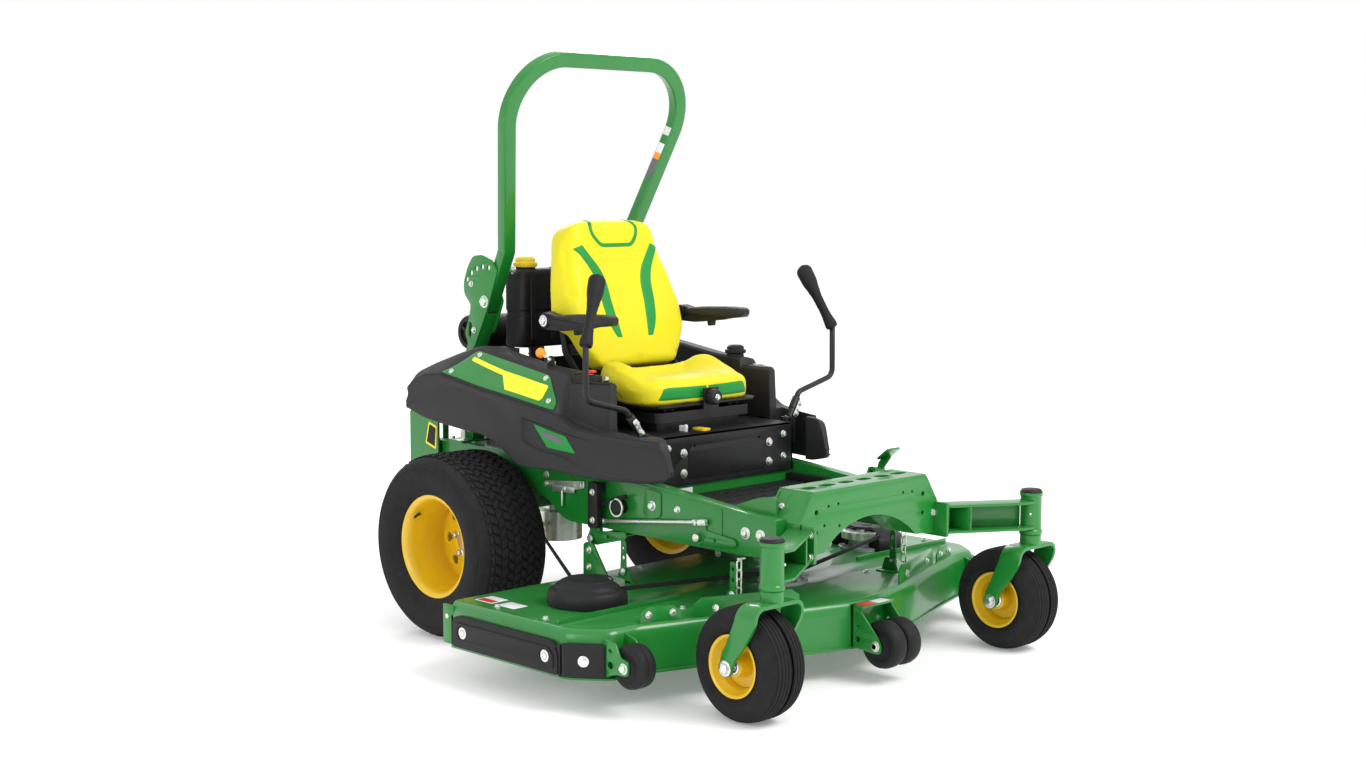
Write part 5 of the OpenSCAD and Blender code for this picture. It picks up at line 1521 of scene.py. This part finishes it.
def deck_guards():
    s = Shape()
    for out in (1, -1):
        # belt cover: domed drum with a shoulder, open toward the middle
        c = Vector((out * 650, 712, 0))
        profile = [(0, 314), (40, 316), (62, 315), (84, 309), (98, 300), (102, 291), (118, 285), (124, 275),
                   (125, 262), (125, 242)]
        n = 72
        rows = []
        for i in range(n):
            a = math.tau * i / n
            d = Vector((math.cos(a), math.sin(a), 0))
            inward = -d.x * out
            # where the belt enters, the skirt is cut away
            keep = 1.0 if inward < 0.55 else max(0.62, 1 - (inward - 0.55) * 3.4)
            row = []
            for r, z in profile:
                rr = r * keep if r > 70 else r
                row.append(c + d * rr + Vector((0, 0, z)))
            rows.append(row)
        skin = [row + [p - Vector((0, 0, 4)) if p.z > 300
                       else p + (c - Vector((p.x, p.y, 0))).normalized() * 4 for p in reversed(row)]
                       for row in rows]
        s.loft(skin, wrap=True)
        s.rod("z", 311, 317, c.x, c.y, 20, 32, 2)
        s.lathe("z", c, [(70, 311), (73, 314), (76, 311)], 56)
        # side bumper with raised pads round its bolts
        bump = rounded([(508, 110, 10), (990, 110, 10), (990, 190, 14), (976, 204, 12), (540, 204, 16),
                        (508, 176, 16)], 10, 5)
        s.prism("x", *span(out, 930.3, 950), bump)
        s.prism("x", *span(out, 945, 953),
                rounded([(524, 124), (976, 124), (976, 186), (546, 186), (524, 166)], 12),
                *[disc(y, 157, 21, 28) for y in (562, 940)])
        # angled corner guard
        a, b = Vector((938, 497)), Vector((862, 397))
        d = (b - a).normalized()
        nrm = Vector((d.y, -d.x)) * -1
        if nrm.x < 0:
            nrm = -nrm
        rings = []
        for off, z1, z2 in ((0, 110, 204), (16, 110, 204), (21, 116, 198)):
            p, q = a + nrm * off * 0.9, b + nrm * off * 0.9
            trim = 6 if off > 18 else 0
            p, q = p + d * trim, q - d * trim
            rings.append([Vector((out * p.x, p.y, z1)), Vector((out * q.x, q.y, z1)),
                          Vector((out * q.x, q.y, z2)), Vector((out * p.x, p.y, z2))])
        s.loft(rings)
        s.loft([[Vector((out * (930.3 + k * 0.9), y, z)) for y,
                 z in ((500, 112), (512, 112), (512, 198), (500, 198))] for k in (0, 18)])
        s.mat = 1
        for y in (562, 940):
            s.bolt((out * 950, y, 157), (out, 0, 0), 10, 2.5, washer=False)
            s.lathe("x", (0, y, 157), [(10, out * 949), (18, out * 949), (18, out * 951.5),
                                       (10, out * 951.5)], 32)
        mid = a.lerp(b, 0.5) + nrm * 19
        s.bolt((out * mid.x, mid.y, 157), (out * nrm.x, nrm.y, 0), 12, 5)
        s.mat = 0
    s.put("deck_belt_covers_and_bumpers", "deck", PLASTIC, STEEL, bevel=2.0, replaces="deck_guards",
          slot="black_plastic")


def rollers():
    for side_name, side in SIDES:
        s = Shape()
        c = Vector((830, GAUGE_Y, GAUGE_Z))
        s.lathe("x", c, both_ways([(8.1, -33), (22, -33), (26, -29), (40, -29), (46, -32), (56, -31),
                                   (62, -24), (63.6, -14), (63.6, -3)], (62.4, 0)), 72)
        s.put("gauge_wheel_moulded_" + side_name, "gauge_wheel_" + side_name, RUBBER, side=side, bevel=1.2,
              replaces="gauge_wheel_" + side_name, slot="rubber")
    s = Shape()
    for x in (-34, 34):
        c = Vector((x, ROLLER_Y, ROLLER_Z))
        s.lathe("x", c, both_ways([(9.1, -31), (24, -31), (28, -27), (46, -27), (52, -30.5), (62, -29),
                                   (70, -21), (72.6, -10)], (73, 0)), 72)
    s.put("center_rollers_moulded", "center_rollers", RUBBER, bevel=1.2, replaces="center_rollers",
          slot="rubber")


def belt():
    """The drive belt round the blade pulleys and the engine pulley, riding with the deck."""
    points = []
    for x, y, r in [(x, y, BELT_PULLEY_R) for x, y in BLADES] + [ENGINE_PULLEY]:
        points += disc(x, y, r, 60)
    points.sort()

    def half(run):
        made = []
        for p in run:
            while len(made) > 1 and ((made[-1][0] - made[-2][0]) * (p[1] - made[-2][1])
                                     - (made[-1][1] - made[-2][1]) * (p[0] - made[-2][0])) <= 0:
                made.pop()
            made.append(p)
        return made[:-1]
    loop = half(points) + half(points[::-1])
    fine = []
    for i, p in enumerate(loop):
        q = loop[(i + 1) % len(loop)]
        steps = max(1, int(math.dist(p, q) / 60))
        fine += [tuple(Vector(p).lerp(Vector(q), k / steps)) for k in range(steps)]
    s = Shape()
    n = len(fine)
    outer, inner, core = fine, inset_path(fine, 8, True), inset_path(fine, 3, True)
    rings = []
    for i in range(n):
        o, m, c = Vector(outer[i]), Vector(inner[i]), Vector(core[i])
        rings.append([Vector((o.x, o.y, 284)), Vector((o.x, o.y, 296)), Vector((c.x, c.y, 297)),
                      Vector((m.x, m.y, 293)), Vector((m.x, m.y, 287)), Vector((c.x, c.y, 283))])
    s.loft(rings, wrap=True)
    return s.put("deck_belt_vee", "deck", RUBBER, bevel=0, replaces="deck_belt", slot="rubber", smooth=50)


deck_shell()
deck_guards()
rollers()
belt()


# ---------------------------------------------------------------- footrest, seat box and lift

def seat_box():
    s = Shape()
    panel = rounded([(-315, 540), (-315, 690), (-300, 700), (300, 700), (315, 690), (315, 540)], 8)
    s.prism("y", 762, 769, panel, *[disc(x, 664, 5, 14) for x in (-150, 150)])
    for out in (1, -1):
        s.prism("x", *span(out, BOX_SIDE - 6, BOX_SIDE),
                rounded([(762, 540), (762, 697), (1330, 697), (1330, 540)], 6), disc(800, 650, 12.3, 28))
    s.box(-BOX_SIDE, BOX_SIDE, 762, 1330, 694, 700)
    s.box(6 - BOX_SIDE, BOX_SIDE - 6, 1324, 1330, 540, 700)
    ring = rounded([(-188, 885), (188, 885), (188, 1200), (-188, 1200)], 20, 5)
    s.prism("z", 699, 726, ring)
    for out in (1, -1):
        s.lathe("x", (0, 800, 650), [(12.3, out * 314), (24, out * 314), (24, out * 318), (22, out * 319.5),
                                     (12.3, out * 319.5)], 36)
        s.box(*span(out, 270, 300), 1330, 1440, 640, 646)
    s.prism("y", 1440, 1446, rounded([(-300, 600), (-300, 905), (300, 905), (300, 600)], 14),
            rect(-60, 60, 640, 700, 6))
    s.mat = 1
    for x, z, r in ((-198.5, 578, 11), (-198.5, 643, 11), (198.5, 578, 11), (198.5, 643, 11),
                    (-268, 664, 9), (268, 664, 9), (-268, 590, 9), (268, 590, 9)):
        s.bolt((x, 762, z), (0, -1, 0), r)
    # latch tag, post and the blank panel on the front face
    s.mat = 2
    s.prism("z", 699, 707, rounded([(-72, 800), (-38, 800), (-38, 852), (-72, 852)], 5))
    s.mat = 3
    s.rod("z", 699, 722, -120, 832, 6, 20, 1)
    s.rod("y", 826, 852, -120, 714, 5, 20, 1)
    s.box(-126, -114, 846, 857, 699, 718)
    s.mat = 0
    s.prism("y", 759.4, 762.6, rounded([(-176, 560), (-176, 652), (176, 652), (176, 560)], 6, 3))
    s.put("seat_box_folded", "chassis", BLACK, ZINC, CAP, LABEL, bevel=1.6, replaces="seat_box",
          slot="black_paint")


def footrest():
    s = Shape()
    holes = [disc(x, y, 9, 14) for x in range(-220, 221, 55) for y in range(420, 721, 60)]
    s.prism("z", 500, 506, rect(-318, 318, 292, 770), *holes)
    for out in (1, -1):
        top = rounded([(300, 505), (300, 556), (304, 562), (332, 562), (470, 506)], 5, 3)
        s.prism("x", *span(out, 60, 290), top)
        for k in range(9):
            y = 346 + k * 12
            z = 562 - (y - 330) * 0.4
            s.loft([[Vector((out * x, y + a, z + b - a * 0.4)) for x in (72, 278)]
                    + [Vector((out * x, y + a, z + b + 4 - a * 0.4)) for x in (278, 72)] for a,
                    b in ((-3, -1.6), (3, -1.6))])
        s.prism("x", *span(out, 292, 318), rounded([(292, 505), (292, 526), (300, 530), (770, 530),
                (770, 505)], 5))
    s.put("footrest_mat", "chassis", PLASTIC, bevel=1.4, replaces="footrest", slot="black_paint")


def lift_parts():
    for name, y0, z0, arm_z, tip, body in (("front", 523, 428, 0, 56, "front_lift_shaft"),
                                           ("rear", 1003, 362, 25, 66, "rear_lift_shaft")):
        s = Shape()
        s.rod("x", -384, 384, y0, z0, 13.9, 28, 1.5)
        for out in (1, -1):
            arm = rounded([(y0 + 20, z0 - 18), (y0 + 22, z0 + 10), (y0 - 10, z0 + tip + 8),
                           (y0 - 36, z0 + tip + 2), (y0 - 28, z0 + 26), (y0 - 150, z0 + arm_z + 12),
                           (y0 - 160, z0 + arm_z), (y0 - 150, z0 + arm_z - 12), (y0 - 20, z0 - 20)], 11)
            s.prism("x", *span(out, 365, 371), arm, disc(y0 - 70, z0 + arm_z * 0.5, 6, 16))
            s.lathe("x", (0, y0, z0), [(13, out * 363), (23, out * 363), (23, out * 372.5),
                                       (13, out * 372.5)], 36)
            s.mat = 1
            s.lathe("x", (0, y0, z0), [(0, out * 380), (10, out * 380), (13, out * 384), (12, out * 386),
                                       (0, out * 386)], 28)
            s.mat = 0
        s.put(name + "_lift_shaft_welded", body, GREEN, ZINC, bevel=1.2, replaces=name + "_lift_shaft",
              slot="green_paint")
    s = Shape()
    a, b = Vector((380, 497, 478)), Vector((380, 977, 422))
    d = (b - a).normalized()
    s.tube([a + d * 16, b - d * 16], 6.5, 20)
    for end, way in ((a, 1), (b, -1)):
        # forked end with its lock nut and pin
        up = Vector((0, -d.z, d.y))
        for x in (373.5, 383):
            s.loft([[end + up * w + d * t * way + Vector((x - 380, 0, 0)) for t,
                     w in ((-15, -9), (-15, 9), (24, 9), (24, -9))],
                     [end + up * w + d * t * way + Vector((x - 377, 0, 0)) for t,
                     w in ((-15, -9), (-15, 9), (24, 9), (24, -9))]])
        s.loft([[end + up * w + d * t * way + Vector((x, 0, 0)) for x,
                 w in ((-6, -9), (6, -9), (6, 9), (-6, 9))] for t in (18, 34)])
        s.bolt(end + d * 34 * way, d * way, 10, 9, washer=False)
        s.rod("x", 371.5, 388.5, end.y - d.y * 6 * way, end.z - d.z * 6 * way, 5, 20, 1)
    s.mirror()
    s.put("lift_rods_threaded", "lift_rods", ZINC, bevel=0.8, replaces="lift_rods", slot="zinc")
    s = Shape()
    s.lathe("x", (0, 446, 560), [(8.1, 366), (14, 366), (15, 367), (15, 403), (14, 404), (8.1, 404)], 32)
    s.prism("x", 388, 396, rounded([(432, 568), (454, 571), (449, 590), (414, 626), (398, 612)], 6))
    tilt = math.radians(-38)
    c = Vector((392, 408, 620))

    def tread(x, y, z):
        return c + Vector((x, y * math.cos(tilt) - z * math.sin(tilt),
                           y * math.sin(tilt) + z * math.cos(tilt)))
    outline = rounded([(-34, -30), (34, -30), (34, 32), (-34, 32)], 12)
    s.loft([[tread(x, y, z) for x, y in outline] for z in (0, 5)])
    s.mat = 1
    for k in range(6):
        y = -22 + 9 * k
        s.loft([[tread(x, y + a, z) for x in (-29, 29)] + [tread(x, y + a, z + 3) for x in (29, -29)]
                for a, z in ((-2.5, 4), (2.5, 4))])
    s.put("lift_pedal_welded", "lift_pedal", GREEN, RUBBER, bevel=1.2, replaces="lift_pedal",
          slot="green_paint")


seat_box()
footrest()
lift_parts()


# ---------------------------------------------------------------- finish on the CAD pieces that stay

def rail_side_parts(side_name, side):
    """Brake linkage, spring seat and hose post that stand out from the side of the frame."""
    s = Shape()
    s.prism("x", 366, 370, rounded([(1046, 540), (1236, 522), (1250, 506), (1120, 500), (1046, 518)], 7))
    s.prism("x", 371, 375, rounded([(1090, 516), (1196, 512), (1196, 492), (1090, 496)], 6))
    for y, z in ((1062, 529), (1140, 506), (1226, 514)):
        s.bolt((375, y, z), (1, 0, 0), 7, 6)
        s.rod("x", 361, 375, y, z, 5, 16, 0.4)
    s.tube([(373, 1150, 502), (373, 1150, 448)], 4, 14)
    s.lathe("x", (0, 866, 480), [(25, 391), (30, 391), (31, 394), (30, 397), (25, 397)], 40)
    s.mat = 1
    s.prism("x", 390, 410, rounded([(938, 404), (984, 404), (982, 552), (940, 552)], 9))
    s.box(361, 392, 948, 974, 520, 546)
    s.rod("x", 361, 398, 866, 480, 22, 32, 2)
    s.tube(bent([(372, 1010, 470), (384, 960, 462), (398, 900, 500), (384, 830, 520)], 30), 5, 14)
    s.mat = 0
    for z in (430, 520):
        s.bolt((410, 961, z), (1, 0, 0), 8, 6)
    # four links of chain hanging from the front of the rail
    for k in range(4):
        z = 385 - k * 27
        link = [(0, -9), (0, 9)] if k % 2 else [(-9, 0), (9, 0)]
        loop = [(386 + link[0][0], 338 + link[0][1], z), (386 + link[0][0], 338 + link[0][1], z - 30),
                (386 + link[1][0], 338 + link[1][1], z - 30), (386 + link[1][0], 338 + link[1][1], z)]
        s.tube(bent(loop + [loop[0]], 6, 4), 2.6, 10)
    s.rod("x", 361, 392, 338, 390, 4, 16, 0.5)
    s.put("rail_linkage_" + side_name, "chassis", ZINC, PLASTIC, side=side, bevel=0.8, slot="zinc")
    s = Shape()
    s.prism("x", 396, 404, rounded([(884, 239), (1012, 239), (1012, 346), (996, 356), (966, 350),
                                    (906, 264)], 8), disc(985, 330, 7, 20))
    s.box(380, 404, 884, 1012, 239, 246)
    s.mat = 1
    for y, z in ((985, 330), (985, 275)):
        s.bolt((404, y, z), (1, 0, 0))
    s.put("deck_hanger_plate_" + side_name, "deck", GREEN, ZINC, side=side, bevel=1.2, slot="green_paint")
    s = Shape()
    s.prism("x", 381.4, 382.8, rounded([(1812, 568), (1872, 586), (1852, 664), (1806, 650)], 5))
    s.mat = 1
    s.prism("x", 382.2, 383.4, rounded([(1818, 578), (1864, 592), (1847, 655), (1812, 643)], 3))
    s.put("guard_label_" + side_name, "chassis", LABEL_YELLOW, PLASTIC, side=side, bevel=0.2, segments=1,
          slot="yellow_plastic")


def seat_tray():
    """The moulded tray that the cushion sits in."""
    s = Shape()
    rings = []
    for z, grow in ((770, -26), (772, -14), (778, -6), (786, 0), (786, -12), (781, -14)):
        half, front, rear = 246 + grow, 850 - grow, 1160 + grow
        shape = rounded([(-half, front), (half, front), (half, rear), (-half, rear)], 46, 6)
        rings.append([Vector((x, y, z)) for x, y in shape])
    s.loft(rings)
    s.put("seat_tray", "seat_base", PLASTIC, bevel=1.2, slot="black_paint")


for side_name, side in SIDES:
    rail_side_parts(side_name, side)
seat_tray()


KEPT = (
    (GREEN, "rear_frame"),
    (CAST, "engine_block", "hydro_drives", "spindle_housings"),
    (BLACK, "blower_housing", "suspension_carriage", "seat_pan", "lever_pivot_right", "lever_pivot_left"),
    (MUFFLER, "muffler"),
    (ZINC, "spindle_right", "spindle_center", "spindle_left", "engine_pulley"),
)

for colour, *names in KEPT:
    for name in names:
        for slot in bpy.data.objects[name].material_slots:
            slot.material = colour


# ---------------------------------------------------------------- floor, light and camera

def studio():
    floor = bpy.data.meshes.new("floor")
    e = 40
    floor.from_pydata([(-e, -e, 0), (e, -e, 0), (e, e, 0), (-e, e, 0)], [], [(0, 1, 2, 3)])
    floor.materials.append(material("pale_floor", (0.90, 0.90, 0.90), 0.9, spread=0.01, size=2, bump=0.0,
                                    gloss=0.0, glow=0.16))
    obj = bpy.data.objects.new("floor", floor)
    bpy.context.scene.collection.objects.link(obj)

    world = bpy.data.worlds.new("studio")
    world.use_nodes = True
    world.node_tree.nodes["Background"].inputs["Color"].default_value = (1, 1, 1, 1)
    world.node_tree.nodes["Background"].inputs["Strength"].default_value = 1.0
    bpy.context.scene.world = world

    def area(name, at, aim, size, power):
        light = bpy.data.lights.new(name, "AREA")
        light.shape, light.size, light.size_y, light.energy = "RECTANGLE", size[0], size[1], power
        lamp = bpy.data.objects.new(name, light)
        lamp.location = at
        lamp.rotation_euler = (Vector(aim) - Vector(at)).to_track_quat("-Z", "Y").to_euler()
        bpy.context.scene.collection.objects.link(lamp)
    area("key_light", (1.5, -6.0, 6.5), (0, 0, 0.6), (4, 3), 420)
    area("fill_light", (-7.5, -1.0, 3.2), (0, 0, 0.7), (4, 3), 120)
    area("rim_light", (4.0, 6.0, 5.0), (0, 0, 0.9), (4, 2), 200)

    lens = bpy.data.cameras.new("view")
    lens.sensor_width, lens.lens = 36, 49.71
    lens.clip_end = 200
    camera = bpy.data.objects.new("view", lens)
    camera.location = (-4.3589, -4.4006, 1.4885)
    camera.rotation_euler = (math.radians(84.01), math.radians(-0.08), math.radians(-44.54))
    bpy.context.scene.collection.objects.link(camera)
    bpy.context.scene.camera = camera
    bpy.context.scene.view_settings.view_transform = "Standard"


studio()
